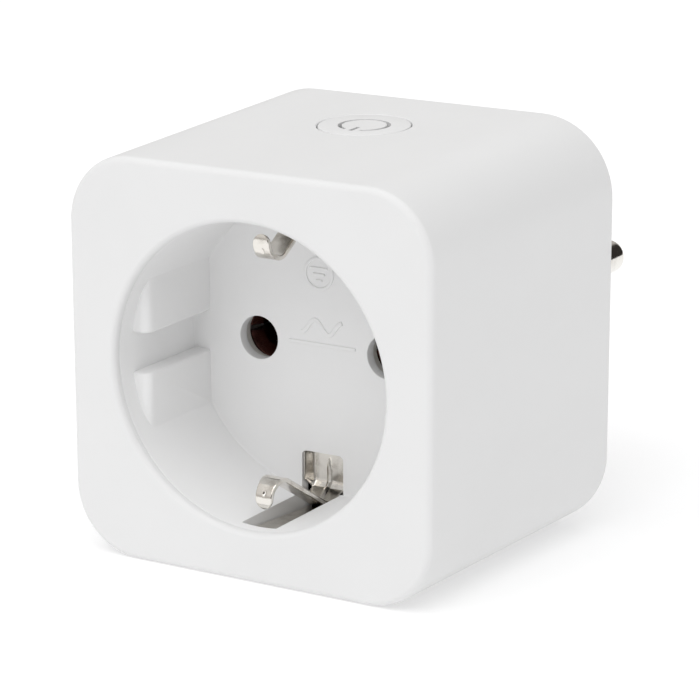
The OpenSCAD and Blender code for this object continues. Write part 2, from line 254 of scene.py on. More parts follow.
def skin(rings, looped=False, caps=True):
    """A surface through closed rings of equal length."""
    count = len(rings[0])
    verts = [p for ring in rings for p in ring]
    faces = []
    for i in range(len(rings) if looped else len(rings) - 1):
        a, b = i * count, (i + 1) % len(rings) * count
        for j in range(count):
            k = (j + 1) % count
            faces.append((a + j, a + k, b + k, b + j))
    if caps and not looped:
        faces.append(tuple(reversed(range(count))))
        faces.append(tuple(range(len(verts) - count, len(verts))))
    return verts, faces


def fill(loops, place, t):
    """The flat area inside the first loop and outside the others, in triangles."""
    points, edges = [], []
    for loop in loops:
        first = len(points)
        points += loop
        edges += [(first + i, first + (i + 1) % len(loop)) for i in range(len(loop))]
    found, _, triangles, *_ = delaunay_2d_cdt(points, edges, [], 0, 1e-5)
    kept = [f for f in triangles if inside(sum((found[i] for i in f), Vector((0, 0))) / len(f), loops)]
    return [place(p.x, p.y, t) for p in found], [tuple(f) for f in kept]


def slab(loops, place, low, high, edge=0.0, steps=3):
    """A plate of the first loop's outline with the others as holes, and rounded rims."""
    levels = [(0.0, low)]
    if edge:
        levels = [(edge * down, low + edge * out) for out, down in quarter(steps)]
    levels += [(inset, high + low - t) for inset, t in reversed(levels)]
    shapes = [[grow(loop, inset if i else -inset) for i, loop in enumerate(loops)] for inset, _ in levels]
    parts = []
    for i in range(len(loops)):
        rings = [[place(p.x, p.y, t) for p in shape[i]] for shape, (_, t) in zip(shapes, levels)]
        parts.append(skin(rings, caps=False))
    parts.append(fill(shapes[0], place, levels[0][1]))
    parts.append(fill(shapes[-1], place, levels[-1][1]))
    return join(*parts)


def turned(profile, place, segments=64):
    """A solid of revolution about t, from (radius, t) points. It is closed by its own axis or ring."""
    rings = [[place(p.x, p.y, t) for p in circle(radius, segments)] for radius, t in profile]
    on_axis = profile[0][0] < 1e-6 and profile[-1][0] < 1e-6
    return skin(rings, looped=not on_axis, caps=False)


def lathe(points, radii, place, segments=64, steps=4):
    """A solid of revolution with the corners of its profile rounded."""
    return turned(fillet(points, radii, steps, closed=False), place, segments)


def bore(radius, low, high, place, segments=64, edge=0.0):
    """A plain cylinder, with a round edge at its high end where edge is given."""
    return lathe([(0, low), (radius, low), (radius, high), (0, high)], [0, 0, edge, 0], place, segments, 5)


def brick(low, high, edge=0.2, steps=3):
    """A box with rounded edges, from two corners given as (X, depth, Z)."""
    upright = fillet(rectangle(low[0], high[0], low[1], high[1]), edge, steps)
    return slab([upright], top_down(), low[2], high[2], min(edge, 0.3) * 0.8, steps)


def node_brick(name, edge=0.2, steps=3):
    """A box with rounded edges, the size of a CAD node."""
    return brick(*node_box(name), edge, steps)


def hollow(name, wall, opening):
    """A cutter that leaves a wall inside a CAD node's box and reaches out through one side of it."""
    low, high = node_box(name)
    inset = Vector((wall, wall, wall))
    return brick(low + inset, high - inset + Vector(opening), 0.3)


def table_value(table, s):
    """A smooth value between (s, value) pairs."""
    if s <= table[0][0]:
        return table[0][1]
    for (s0, v0), (s1, v1) in zip(table, table[1:]):
        if s <= s1:
            t = (s - s0) / (s1 - s0)
            return v0 + (v1 - v0) * t * t * (3 - 2 * t)
    return table[-1][1]


def lengths_along(path):
    """The distance of each point from the start of a line."""
    total = [0.0]
    for a, b in zip(path, path[1:]):
        total.append(total[-1] + (b - a).length)
    return total


def sheet(path, widths, place, corners, emboss=None, columns=8):
    """Sheet metal bent along a line, with half widths from (distance, value) pairs.

    corners are the corner radii at its two ends. emboss gives how far a point stands out of the
    sheet, from its place across the sheet and its distance along it.
    """
    edge = 0.14
    rim_angles = (1.05, 0.52, 0, -0.52, -1.05)
    path = [Vector(p) for p in path]
    marks = lengths_along(path)
    total = marks[-1]
    stops = set(marks)
    for k in range(1, 7):
        share = 1 - math.cos(math.radians(15 * k))
        stops |= {corners[0] * share, total - corners[1] * share}
    stops = sorted(stops)
    stops = [s for i, s in enumerate(stops) if i == 0 or s - stops[i - 1] > 1e-3]
    rings = []
    for s in stops:
        i = min(max(j for j, m in enumerate(marks) if m <= s + 1e-6), len(path) - 2)
        t = (s - marks[i]) / (marks[i + 1] - marks[i])
        point = path[i].lerp(path[i + 1], t)
        run = (path[i + 1] - path[i]).normalized()
        if t < 0.01 and i > 0:
            run = (run + (path[i] - path[i - 1]).normalized()).normalized()
        normal = Vector((-run.y, run.x))
        half = table_value(widths, s)
        for radius, gap in ((corners[0], s), (corners[1], total - s)):
            if gap < radius:
                half -= radius - math.sqrt(radius ** 2 - (radius - gap) ** 2)
        half = max(half, edge + 0.02)
        outline = [((-1 + 2 * c / columns) * (half - edge), STRIP_T / 2) for c in range(columns + 1)]
        outline += [(half - edge + edge * math.cos(a), STRIP_T / 2 * math.sin(a)) for a in rim_angles]
        outline += [(-x, -n) for x, n in outline]
        ring = []
        for x, n in outline:
            at = point + normal * (n + (emboss(x, s) if emboss else 0.0))
            ring.append(place(at.x, at.y, x))
        rings.append(ring)
    return skin(rings)


def winding(outline, place, low, high, wire, depth):
    """A wound coil: its wire's round back shows in a true helix over the outline."""
    count = len(outline)
    steps = max(8, int((high - low) / wire * 6))
    outer = grow(outline, 1.0)
    inner = grow(outline, -depth)
    rings = [[place(p.x, p.y, low) for p in inner]]
    for k in range(steps + 1):
        t = low + (high - low) * k / steps
        ring = []
        for i, (p, q) in enumerate(zip(outline, outer)):
            phase = (t / wire - i / count) % 1.0
            height = wire * 0.45 * (math.sqrt(max(0.0, 1 - (2 * phase - 1) ** 2)) - 1)
            ring.append(place(*(p + (q - p) * height), t))
        rings.append(ring)
    rings.append([place(p.x, p.y, high) for p in inner])
    return skin(rings, looped=True)


# ---- Pieces ----

def new_object(name, part):
    """A mesh object in millimetres, welded, with its faces outwards."""
    verts, faces = part
    mesh = bpy.data.meshes.new(name)
    mesh.from_pydata([tuple(v) for v in verts], [], faces)
    work = bmesh.new()
    work.from_mesh(mesh)
    bmesh.ops.remove_doubles(work, verts=work.verts, dist=2e-4)
    bmesh.ops.dissolve_degenerate(work, edges=work.edges, dist=1e-4)
    bmesh.ops.recalc_face_normals(work, faces=work.faces)
    work.to_mesh(mesh)
    work.free()
    piece = bpy.data.objects.new(name, mesh)
    bpy.context.scene.collection.objects.link(piece)
    return piece


def remove(piece):
    """Takes an object and its mesh out of the file."""
    mesh = piece.data
    bpy.data.objects.remove(piece)
    bpy.data.meshes.remove(mesh)


def carve(piece, parts, operation="DIFFERENCE"):
    """Cuts solids out of a piece, or adds them to it, and keeps the result as its mesh."""
    for part in parts:
        tool = new_object("carving_tool", part)
        modifier = piece.modifiers.new("carve", "BOOLEAN")
        modifier.operation = operation
        modifier.solver = "EXACT"
        modifier.object = tool
        bpy.context.view_layer.update()
        graph = bpy.context.evaluated_depsgraph_get()
        result = bpy.data.meshes.new_from_object(piece.evaluated_get(graph))
        piece.modifiers.clear()
        old = piece.data
        piece.data = result
        bpy.data.meshes.remove(old)
        remove(tool)
    return piece


def dress(piece, material, node=None, body=BODY, bevel=0.0, angle=35.0):
    """Brings a piece to metres, rounds and shades it, and puts it on its body for its CAD node."""
    mesh = piece.data
    work = bmesh.new()
    work.from_mesh(mesh)
    bmesh.ops.remove_doubles(work, verts=work.verts, dist=1e-3)
    bmesh.ops.dissolve_degenerate(work, edges=work.edges, dist=1e-3)
    if bevel:
        bmesh.ops.dissolve_limit(
            work, angle_limit=math.radians(0.5), verts=work.verts, edges=work.edges, delimit={"NORMAL"})
    bmesh.ops.delete(work, geom=[edge for edge in work.edges if not edge.link_faces], context="EDGES")
    work.to_mesh(mesh)
    work.free()
    mesh.transform(Matrix.Scale(MM, 4))
    mesh.materials.clear()
    mesh.materials.append(material)
    mesh.shade_smooth()
    if bevel:
        rounding = piece.modifiers.new("rounding", "BEVEL")
        rounding.width = bevel * MM
        rounding.segments = 2
        rounding.limit_method = "ANGLE"
        rounding.angle_limit = math.radians(angle)
        rounding.use_clamp_overlap = True
        rounding.harden_normals = True
    else:
        mesh.set_sharp_from_angle(angle=math.radians(angle))
        even = piece.modifiers.new("even_shading", "WEIGHTED_NORMAL")
        even.keep_sharp = True
        even.weight = 60
    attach(piece, body)
    if node:
        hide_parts(node)
    return piece


def make(name, part, material, node=None, add=(), cut=(), **looks):
    """A finished piece from one solid, after others are added to it and then cut out of it."""
    piece = new_object(name, part)
    carve(piece, add, "UNION")
    carve(piece, cut)
    return dress(piece, material, node, **looks)


def flip_z(part):
    """The mirror image of a solid, top to bottom."""
    verts, faces = part
    return [Vector((v.x, v.y, -v.z)) for v in verts], [tuple(reversed(f)) for f in faces]


# ---- Materials ----

class Wiring:
    """Short ways to add and join the nodes of a tree."""

    def __init__(self, tree):
        self.tree = tree

    def node(self, kind, **values):
        """A new node. A value goes to the input of that name, or else to the node's own setting."""
        made = self.tree.nodes.new(kind)
        for key, value in values.items():
            if key in made.inputs:
                made.inputs[key].default_value = value
            else:
                setattr(made, key, value)
        return made

    def link(self, source, target):
        """Joins an output to an input."""
        self.tree.links.new(source, target)

    def ramp(self, source, low, high, a, b):
        """A smooth change from a to b as the source goes from low to high."""
        made = self.node("ShaderNodeMapRange", interpolation_type="SMOOTHSTEP")
        for socket, value in zip(("From Min", "From Max", "To Min", "To Max"), (low, high, a, b)):
            made.inputs[socket].default_value = value
        self.link(source, made.inputs["Value"])
        return made.outputs["Result"]

    def mix(self, mask, a, b):
        """a where the mask is low and b where it is high. Each is a colour or an output."""
        made = self.node("ShaderNodeMix", data_type="RGBA")
        self.link(mask, made.inputs[0])
        for source, socket in ((a, made.inputs[6]), (b, made.inputs[7])):
            if isinstance(source, bpy.types.NodeSocket):
                self.link(source, socket)
            else:
                socket.default_value = (*source, 1)
        return made.outputs[2]


class Finish(Wiring):
    """A node material with a Principled shader. Sizes are in millimetres."""

    def __init__(self, name, color, rough, metallic=0.0, **sockets):
        self.material = bpy.data.materials.new(name)
        self.material.use_nodes = True
        super().__init__(self.material.node_tree)
        self.shader = self.tree.nodes["Principled BSDF"]
        self.shader.inputs["Base Color"].default_value = (*color, 1)
        self.shader.inputs["Roughness"].default_value = rough
        self.shader.inputs["Metallic"].default_value = metallic
        for socket, value in sockets.items():
            self.shader.inputs[socket.replace("_", " ")].default_value = value
        self.coords = self.node("ShaderNodeTexCoord").outputs["Object"]
        self.height = None

    def stretched(self, sizes):
        """Coordinates divided by a size along each axis."""
        mapping = self.node("ShaderNodeMapping")
        mapping.inputs["Scale"].default_value = [1 / (s * MM) for s in sizes]
        self.link(self.coords, mapping.inputs["Vector"])
        return mapping.outputs["Vector"]

    def noise(self, size, detail=3.0, rough=0.5):
        """Noise with features of one size, or of a size along each axis."""
        sizes = size if hasattr(size, "__len__") else (size,) * 3
        made = self.node("ShaderNodeTexNoise", Scale=1.0, Detail=detail, Roughness=rough)
        self.link(self.stretched(sizes), made.inputs["Vector"])
        return made.outputs["Fac"]

    def cells(self, size):
        """The distance to the nearest of points spread some millimetres apart."""
        made = self.node("ShaderNodeTexVoronoi", Scale=1.0)
        self.link(self.stretched((size,) * 3), made.inputs["Vector"])
        return made.outputs["Distance"]

    def lines(self, axis, pitch, wobble=0.0):
        """Even bands across an axis."""
        made = self.node("ShaderNodeTexWave", wave_type="BANDS", bands_direction=axis,
                         Scale=math.pi / (10 * pitch), Distortion=wobble, Detail=1.0)
        self.link(self.stretched((1, 1, 1)), made.inputs["Vector"])
        return made.outputs["Fac"]

    def product(self, a, b):
        """Two masks multiplied."""
        made = self.node("ShaderNodeMath", operation="MULTIPLY")
        self.link(a, made.inputs[0])
        self.link(b, made.inputs[1])
        return made.outputs[0]

    def tint(self, color, mask):
        """Mixes a colour over what the shader has, where the mask is high."""
        base = self.shader.inputs["Base Color"]
        under = base.links[0].from_socket if base.is_linked else base.default_value[:3]
        self.link(self.mix(mask, under, color), base)

    def stain(self, color, size, detail, low, high, amount=1.0, rough=0.5):
        """A tint in patches of noise."""
        self.tint(color, self.ramp(self.noise(size, detail, rough), low, high, 0.0, amount))

    def bands(self, color, axis, pitch, low, high, amount=1.0):
        """A tint in even bands."""
        self.tint(color, self.ramp(self.lines(axis, pitch), low, high, 0.0, amount))

    def roughen(self, size, detail, low, high, rough=0.5):
        """Roughness that follows noise."""
        uneven = self.ramp(self.noise(size, detail, rough), 0.3, 0.7, low, high)
        self.link(uneven, self.shader.inputs["Roughness"])

    def relief(self, source, microns, low=0.3, high=0.7):
        """Adds a relief of some micrometres to the surface."""
        bump = self.node("ShaderNodeBump", Strength=1.0, Distance=microns * 1e-6)
        self.link(self.ramp(source, low, high, 0.0, 1.0), bump.inputs["Height"])
        if self.height:
            self.link(self.height, bump.inputs["Normal"])
        self.height = bump.outputs["Normal"]
        self.link(self.height, self.shader.inputs["Normal"])

    def grain(self, size, microns, detail=3.0, rough=0.5):
        """A relief of noise."""
        self.relief(self.noise(size, detail, rough), microns)


def plastic(name, color, rough, fine, microns, shade=0.985, **sockets):
    """Moulded plastic: a fine spark-eroded grain, faint flow marks and a little uneven gloss."""
    finish = Finish(name, color, rough, **sockets)
    finish.stain([c * shade for c in color], (14, 30, 14), 3.0, 0.35, 0.75)
    finish.roughen(3.0, 4.0, rough - 0.03, rough + 0.03, 0.6)
    finish.grain(9.0, microns * 3, 2.0)
    finish.grain(fine, microns, 4.0, 0.6)
    return finish.material


def metal(name, color, dark, rough, brush, microns=1.2):
    """Plated or bare sheet metal: drawn marks, darker patches of noise and small pits."""
    finish = Finish(name, color, rough, metallic=1.0)
    finish.stain(dark, 2.5, 4.0, 0.45, 0.8, 0.7, 0.6)
    finish.stain([c * 0.82 for c in color], brush, 3.0, 0.5, 0.85, 0.5, 0.7)
    finish.roughen(brush, 4.0, rough * 0.7, rough * 1.5, 0.7)
    finish.grain(1.6, microns * 4)
    finish.grain(brush, microns, 5.0, 0.7)
    finish.relief(finish.cells(0.4), microns, 0.02, 0.12)
    return finish.material


def dipped(name, color, deep, rough=0.3):
    """A dipped or potted coating: glossy, thicker in places, with pinholes."""
    finish = Finish(name, color, rough, Coat_Weight=0.35, Coat_Roughness=0.12)
    finish.stain(deep, 2.2, 3.0, 0.4, 0.75)
    finish.roughen(0.9, 3.0, rough - 0.06, rough + 0.1)
    finish.grain(1.8, 24.0)
    finish.relief(finish.cells(1.1), 10.0, 0.03, 0.09)
    return finish.material


def board_finish():
    """Solder mask over tracks that run two ways, with small tinned vias."""
    finish = Finish("board_green", (0.01, 0.08, 0.035), 0.34)
    areas = finish.ramp(finish.noise(5.0, 1.0), 0.46, 0.5, 0.0, 1.0)
    for axis in ("X", "Z"):
        tracks = finish.ramp(finish.lines(axis, 1.3, 0.6), 0.72, 0.8, 0.0, 1.0)
        finish.tint((0.03, 0.19, 0.08), finish.product(tracks, areas))
    finish.tint((0.5, 0.5, 0.47), finish.ramp(finish.cells(2.1), 0.1, 0.14, 1.0, 0.0))
    finish.roughen(1.5, 3.0, 0.3, 0.42)
    finish.relief(finish.lines("X", 1.3, 0.6), 12.0, 0.7, 0.8)
    finish.grain(0.3, 2.0)
    return finish.material


def ferrite_finish():
    """Sintered ferrite: dark, with fine grains and pores."""
    finish = Finish("ferrite", (0.055, 0.055, 0.06), 0.62)
    finish.stain((0.11, 0.11, 0.115), 0.25, 4.0, 0.5, 0.75, rough=0.7)
    finish.roughen(0.4, 3.0, 0.5, 0.75)
    finish.relief(finish.cells(0.5), 14.0, 0.05, 0.3)
    finish.grain(0.2, 6.0, 4.0, 0.7)
    return finish.material


def tape_finish():
    """Thin yellow tape in overlapping turns."""
    finish = Finish("winding_tape", (0.62, 0.46, 0.08), 0.28, Coat_Weight=0.3)
    finish.bands((0.4, 0.28, 0.04), "Y", 2.1, 0.9, 0.98, 0.8)
    finish.stain((0.5, 0.33, 0.05), 1.2, 4.0, 0.45, 0.75, 0.6)
    finish.roughen(0.8, 3.0, 0.2, 0.36)
    finish.relief(finish.lines("Y", 0.4, 0.2), 6.0)
    finish.grain((3, 0.5, 3), 12.0)
    return finish.material


def sleeve_finish():
    """Shrunk sleeve: near black, with a pale stripe down one side."""
    finish = Finish("capacitor_sleeve", (0.016, 0.02, 0.032), 0.28, Coat_Weight=0.3)
    finish.bands((0.42, 0.43, 0.45), "X", 6.8, 0.93, 0.95)
    finish.stain((0.05, 0.055, 0.07), 1.5, 3.0, 0.5, 0.8, 0.5)
    finish.roughen(1.0, 3.0, 0.22, 0.36)
    finish.grain((1.5, 5, 1.5), 14.0)
    return finish.material


def resistor_finish():
    """Ceramic coating with colour bands round it."""
    finish = Finish("resistor_ceramic", (0.5, 0.42, 0.3), 0.45)
    finish.bands((0.3, 0.03, 0.02), "Y", 5.6, 0.93, 0.95)
    finish.bands((0.04, 0.03, 0.03), "Y", 3.1, 0.93, 0.95)
    finish.stain((0.38, 0.31, 0.2), 0.6, 4.0, 0.5, 0.8, 0.5)
    finish.roughen(0.5, 3.0, 0.36, 0.55)
    finish.grain(0.5, 10.0, 4.0, 0.7)
    return finish.material


def groove_shade_finish():
    """A dark grey light guide, its dark grey painted shade for the bottom of the deep symbol groove."""
    finish = Finish("smoke_diffuser", (0.16, 0.16, 0.165), 0.35)
    finish.stain((0.22, 0.22, 0.22), 0.8, 4.0, 0.4, 0.7)
    finish.roughen(0.5, 3.0, 0.28, 0.42)
    finish.grain(0.15, 2.0)
    return finish.material


white_housing = plastic("white_housing", (0.78, 0.78, 0.78), 0.46, 0.22, 1.2, Specular_IOR_Level=0.3)
# The socket plastic is the housing's white made lighter. It is the same plastic, and the extra brightness is
# painted light for the inside of the recess.
white_socket = plastic("white_socket", (0.85, 0.85, 0.85), 0.46, 0.3, 1.6, Specular_IOR_Level=0.3)
white_cover = plastic("white_cover", (0.78, 0.78, 0.78), 0.52, 0.35, 6.0)
white_button = plastic("white_button", (0.78, 0.78, 0.78), 0.42, 0.2, 1.0, Specular_IOR_Level=0.3)
switch_black = plastic("switch_black", (0.022, 0.022, 0.024), 0.42, 0.2, 3.0, shade=0.7)
relay_black = plastic("relay_black", (0.018, 0.018, 0.02), 0.38, 0.3, 4.0, shade=0.7)
bobbin_nylon = plastic("bobbin_nylon", (0.62, 0.58, 0.47), 0.4, 0.3, 3.0, shade=0.9)
carrier_plastic = plastic("carrier_plastic", (0.68, 0.66, 0.62), 0.5, 0.3, 4.0, shade=0.9)
led_lens = plastic("led_lens", (0.78, 0.76, 0.6), 0.18, 0.3, 1.0, Coat_Weight=0.4)
# The nickel strips get strong dark brown patches of noise over their plating.
nickel_strip = metal("nickel_strip", (0.82, 0.79, 0.74), (0.3, 0.26, 0.21), 0.12, (0.08, 1.2, 0.08))
nickel_pin = metal("nickel_pin", (0.82, 0.8, 0.76), (0.55, 0.52, 0.48), 0.12, (0.6, 0.05, 0.6), 0.8)
screw_steel = metal("screw_steel", (0.68, 0.68, 0.7), (0.42, 0.42, 0.4), 0.28, (0.3, 0.05, 0.3), 2.0)
shield_tin = metal("shield_tin", (0.72, 0.72, 0.7), (0.5, 0.5, 0.48), 0.3, (0.3, 0.8, 0.3), 2.5)
relay_iron = metal("relay_iron", (0.5, 0.49, 0.46), (0.3, 0.28, 0.24), 0.34, (0.2, 0.7, 0.2), 3.0)
# The contact brass is painted very dark red brown as painted shade for the inside of the contact holes. The
# bars and relay contacts share this colour.
contact_brass = metal("contact_brass", (0.13, 0.055, 0.045), (0.07, 0.03, 0.03), 0.34, (0.1, 0.9, 0.1), 2.0)
coil_copper = metal("coil_copper", (0.72, 0.3, 0.14), (0.45, 0.15, 0.07), 0.24, (0.6, 0.04, 0.6), 1.5)
board_green = board_finish()
ferrite = ferrite_finish()
winding_tape = tape_finish()
capacitor_sleeve = sleeve_finish()
film_capacitor_yellow = dipped("film_capacitor_yellow", (0.62, 0.38, 0.04), (0.5, 0.27, 0.02), 0.34)
varistor_blue = dipped("varistor_blue", (0.02, 0.075, 0.32), (0.012, 0.045, 0.22))
resistor_ceramic = resistor_finish()
# The light guide's dark grey is painted shade for the bottom of the symbol groove.
smoke_diffuser = groove_shade_finish()


# ---- Housing ----

def housing_shell():
    """One moulding: lip, front face, drafted sides, back rim and the walls inside."""
    angles = [math.atan2(p.y, p.x) for p in round_square(FRONT_HALF, FRONT_CORNER)]

    def round_ring(radius, depth):
        """A ring about the socket's axis."""
        return [Vector((radius * math.cos(a), FRONT + depth, radius * math.sin(a))) for a in angles]

    def square_ring(depth, inset):
        """The outline of the drafted sides at a depth, moved inwards."""
        place = face_on()
        outline = round_square(half_at(depth) - inset, corner_at(depth) - inset)
        return [place(p.x, p.y, depth) for p in outline]

    rings = [round_ring(RECESS_R, LIP_D)]
    rings += [round_ring(RECESS_R + LIP_ROUND * out, LIP_ROUND_D * down) for out, down in quarter(6)]
    flat_square = square_ring(0, EDGE)
    flat_round = rings[-1]
    for share in (0.25, 0.5, 0.75):
        rings.append([p.lerp(q, share) for p, q in zip(flat_round, flat_square)])
    rings += [square_ring(EDGE * out, EDGE * down) for out, down in quarter(6)]
    rings += [square_ring(depth, 0) for depth in (6, 15, 25, 35, 42)]
    rim = 0.35
    rings += [square_ring(BODY_D - rim * down, rim * out) for out, down in quarter(3)]
    rings += [square_ring(BODY_D - rim * down, WALL - rim * out) for out, down in reversed(quarter(3))]
    rings += [square_ring(depth, WALL) for depth in (38, 28, 18, 8)]
    inner_square = square_ring(FRONT_WALL, WALL)
    rebate = round_ring(CUP_R + 0.1, FRONT_WALL)
    rings += [inner_square, [p.lerp(q, 0.5) for p, q in zip(inner_square, rebate)], rebate]
    rings.append(round_ring(CUP_R + 0.1, LIP_D))
    return skin(rings, looped=True)


def top_ring(radius, down=0.0, z=None):
    """A ring about the button's axis. It follows the sloping top where no height is given."""
    ring = circle(radius, 96, (0.0, BUTTON_D))
    return [Vector((p.x, FRONT + p.y, half_at(p.y) - down if z is None else z)) for p in ring]


def button_hole():
    """The cutter for the button's hole. Its rim flares to follow the sloping top."""
    flare = 0.22
    radius = BUTTON_R + BUTTON_GAP
    rings = [top_ring(radius, z=20)]
    for degrees in range(0, 85, 16):
        a = math.radians(degrees)
        rings.append(top_ring(radius + flare * (1 - math.cos(a)), flare * (1 - math.sin(a))))
    rings.append(top_ring(radius + flare, -1))
    return skin(rings)


def screw_posts():
    """Two posts with their ribs, behind the front wall."""
    front, end = 1.6, PLATE_FRONT
    profile = [(0, front), (3.4, front), (3.4, end - 0.3), (3.1, end), (0, end)]
    solids = []
    for side, place in zip(SIDES, SCREWS):
        solids.append(turned(profile, place))
        at = side * SCREW_AT
        low, high = span(side, SCREW_AT, 24.9)
        solids.append(brick((at - 0.7, front, low), (at + 0.7, end - 0.4, high), 0.15))
        solids.append(brick((low, front, at - 0.7), (high, end - 0.4, at + 0.7), 0.15))
    return solids


def build_housing():
    """The shell with its button hole and bored screw posts."""
    end = PLATE_FRONT
    profile = [(0, 30), (1.25, 30), (1.25, end - 0.5), (1.6, end + 0.5), (0, end + 0.5)]
    bores = [turned(profile, place, 48) for place in SCREWS]
    make("housing_shell", housing_shell(), white_housing, "housing", screw_posts(), [button_hole()] + bores)


build_housing()


# ---- Socket insert ----

def key_pads():
    """Solid blocks with round front edges, left standing on the recess wall."""
    pads = []
    for sx in SIDES:
        for sz in SIDES:
            x0, x1 = span(sx, KEY_X, CUP_R + 1)
            z0, z1 = span(sz, KEY_SLOT, KEY_HALF_H + 0.4)
            radii = [1.2, 0, 0, 0] if sx > 0 else [0, 1.2, 0, 0]
            outline = fillet(rectangle(x0, x1, KEY_FRONT, RECESS_D + 2), radii, 8)
            pads.append(slab([outline], top_down(), z0, z1, 0.4, 4))
    return pads


def recess():
    """The hollow of the socket: a round cup with a rounded foot, without the key pads."""
    foot = arc(0.15, 0, 90, 3, (RECESS_R - 0.15, RECESS_D - 0.15))
    profile = [(0, LIP_D - 1), (RECESS_R + 0.2, LIP_D - 1), (RECESS_R + 0.2, LIP_D), (RECESS_R, LIP_D + 0.2)]
    hollow = new_object("recess_hollow", turned(profile + foot + [(0, RECESS_D)], face_on(), 192))
    carve(hollow, key_pads())
    mesh = hollow.data
    part = [v.co.copy() for v in mesh.vertices], [tuple(p.vertices) for p in mesh.polygons]
    remove(hollow)
    return part


def earth_openings():
    """The troughs for the spring arms, and the windows in the recess floor."""
    cuts = []
    for side in SIDES:
        trough = fillet(rectangle(-TROUGH_HALF, TROUGH_HALF, *span(side, 17, TROUGH_Z)), 0.3, 3)
        cuts.append(slab([trough], face_on(), TROUGH_D, FLOOR_BACK + 1))
        window = fillet(rectangle(-WINDOW_HALF, WINDOW_HALF, *span(side, *WINDOW_Z)), 0.7, 5)
        cuts.append(slab([window], face_on(), RECESS_D - 0.01, FLOOR_BACK + 1))
    return cuts


def contact_holes():
    """Round holes with a rounded rim."""
    rim = 0.12
    profile = [(0, RECESS_D - 1), (HOLE_R + rim, RECESS_D - 1), (HOLE_R + rim, RECESS_D)]
    profile += [(HOLE_R + rim - rim * math.sin(a), RECESS_D + rim - rim * math.cos(a))
                for a in (0.35, 0.7, 1.05, 1.3, math.pi / 2)]
    profile += [(HOLE_R, FLOOR_BACK + 1), (0, FLOOR_BACK + 1)]
    return [turned(profile, place, 72) for place in CONTACTS]


def floor_marks():
    """Raised marks on the recess floor: a rating bar with a wave, and a ringed earth symbol."""
    high, low = RECESS_D - 0.15, RECESS_D + 0.3
    half_line = 0.28
    marks = [slab([fillet(rectangle(-5, 5, 0.05, 0.55), 0.2, 3)], face_on(), high, low, 0.08)]
    wave = []
    for i in range(25):
        u = -3 + 6 * i / 24
        wave.append(Vector((u, 2.6 + 0.9 * math.sin(u * math.pi / 2 + math.pi))))
    upper, lower = [], []
    for i, p in enumerate(wave):
        run = wave[min(i + 1, 24)] - wave[max(i - 1, 0)]
        normal = Vector((-run.y, run.x)).normalized() * half_line
        upper.append(p + normal)
        lower.append(p - normal)
    marks.append(slab([lower + upper[::-1]], face_on(), high, low, 0.08))
    centre = face_on(-0.4, 9.6)
    marks.append(slab([circle(2.2, 64), circle(1.8, 64)], centre, high, low, 0.08))
    for i in range(3):
        half, v = 1.3 - 0.4 * i, 0.7 - 0.8 * i
        bar = fillet(rectangle(-half, half, v - 0.16, v + 0.16), 0.1, 3)
        marks.append(slab([bar], centre, high, low, 0.07))
    return marks


def build_socket():
    """The cup with blocks round its troughs, then its hollow, openings and marks."""
    outside = [(0, LIP_D), (CUP_R - 0.2, LIP_D), (CUP_R, LIP_D + 0.2), (CUP_R, FLOOR_BACK - 0.3),
               (CUP_R - 0.3, FLOOR_BACK), (0, FLOOR_BACK)]
    piece = new_object("socket_recess", turned(outside, face_on(), 192))
    for side in SIDES:
        block = fillet(rectangle(-3.9, 3.9, *span(side, 17.5, 23.4)), 0.6, 4)
        carve(piece, [slab([block], face_on(), FRONT_WALL + 0.1, FLOOR_BACK - 0.01, 0.2)], "UNION")
    carve(piece, [recess()] + earth_openings() + contact_holes())
    carve(piece, floor_marks(), "UNION")
    dress(piece, white_socket, "socket_insert", bevel=0.1, angle=40)


build_socket()


# ---- Button ----

def power_symbol(grow_by):
    """The outlines of the on/off symbol: an open ring and a bar that points to the front face."""
    outer, inner, gap = 3.35 + grow_by, 2.95 - grow_by, 1.1 - grow_by
    start = math.degrees(math.asin(gap / outer)) - 90
    start_in = math.degrees(math.asin(gap / inner)) - 90
    ring = arc(outer, start, 180 - start, 48) + arc(inner, 180 - start_in, start_in, 48)
    bar = fillet(rectangle(-0.22 - grow_by, 0.22 + grow_by, -3.6 - grow_by, -1.3 + grow_by), 0.18, 4)
    return [ring, bar]


def build_button():
    """The cap with its skirt, and the light guide that fills the symbol."""
    top = half_at(BUTTON_D)
    stem = PLUNGER_TOP + 0.05
    plate = top - 1.4
    guide = plate - 0.7
    skirt = guide - 0.8
    edge = 0.18
    rings = [top_ring(BUTTON_R - 0.9, z=plate), top_ring(BUTTON_R - 0.9, z=skirt)]
    for out, up in ((0.7, 0), (0.8, 0.1), (0.8, 0.3), (0.7, 0.4), (0, 0.4)):
        rings.append(top_ring(BUTTON_R + out, z=skirt + up))
    rings += [top_ring(BUTTON_R - edge * out, edge * down) for out, down in quarter(4)]
    place = top_down(0, BUTTON_D)
    boss = turned([(0, stem), (1.65, stem), (1.8, stem + 0.15), (1.8, plate + 0.1), (0, plate + 0.1)], place)
    grooves = [slab([loop], place, plate - 0.5, top + 2) for loop in power_symbol(0.05)]
    make("button", skin(rings), white_button, "button_cap", [boss], grooves, body="button", bevel=0.06,
         angle=50)
    disc = slab([circle(BUTTON_R - 1.0, 72), circle(1.95, 48)], place, guide, plate, 0.06)
    lit = [slab([loop], place, plate - 0.1, plate + 0.35, 0.04) for loop in power_symbol(0.0)]
    make("symbol_light_guide", disc, smoke_diffuser, "light_guide", lit, body="button")


build_button()


# ---- Earth contacts ----

ARM_CREST = (6.3, -16.6)
ARM_CREST_R = 2.25
ARM_SLOPE = 32.6
ARM_HINGE = (17.3, -20.7)


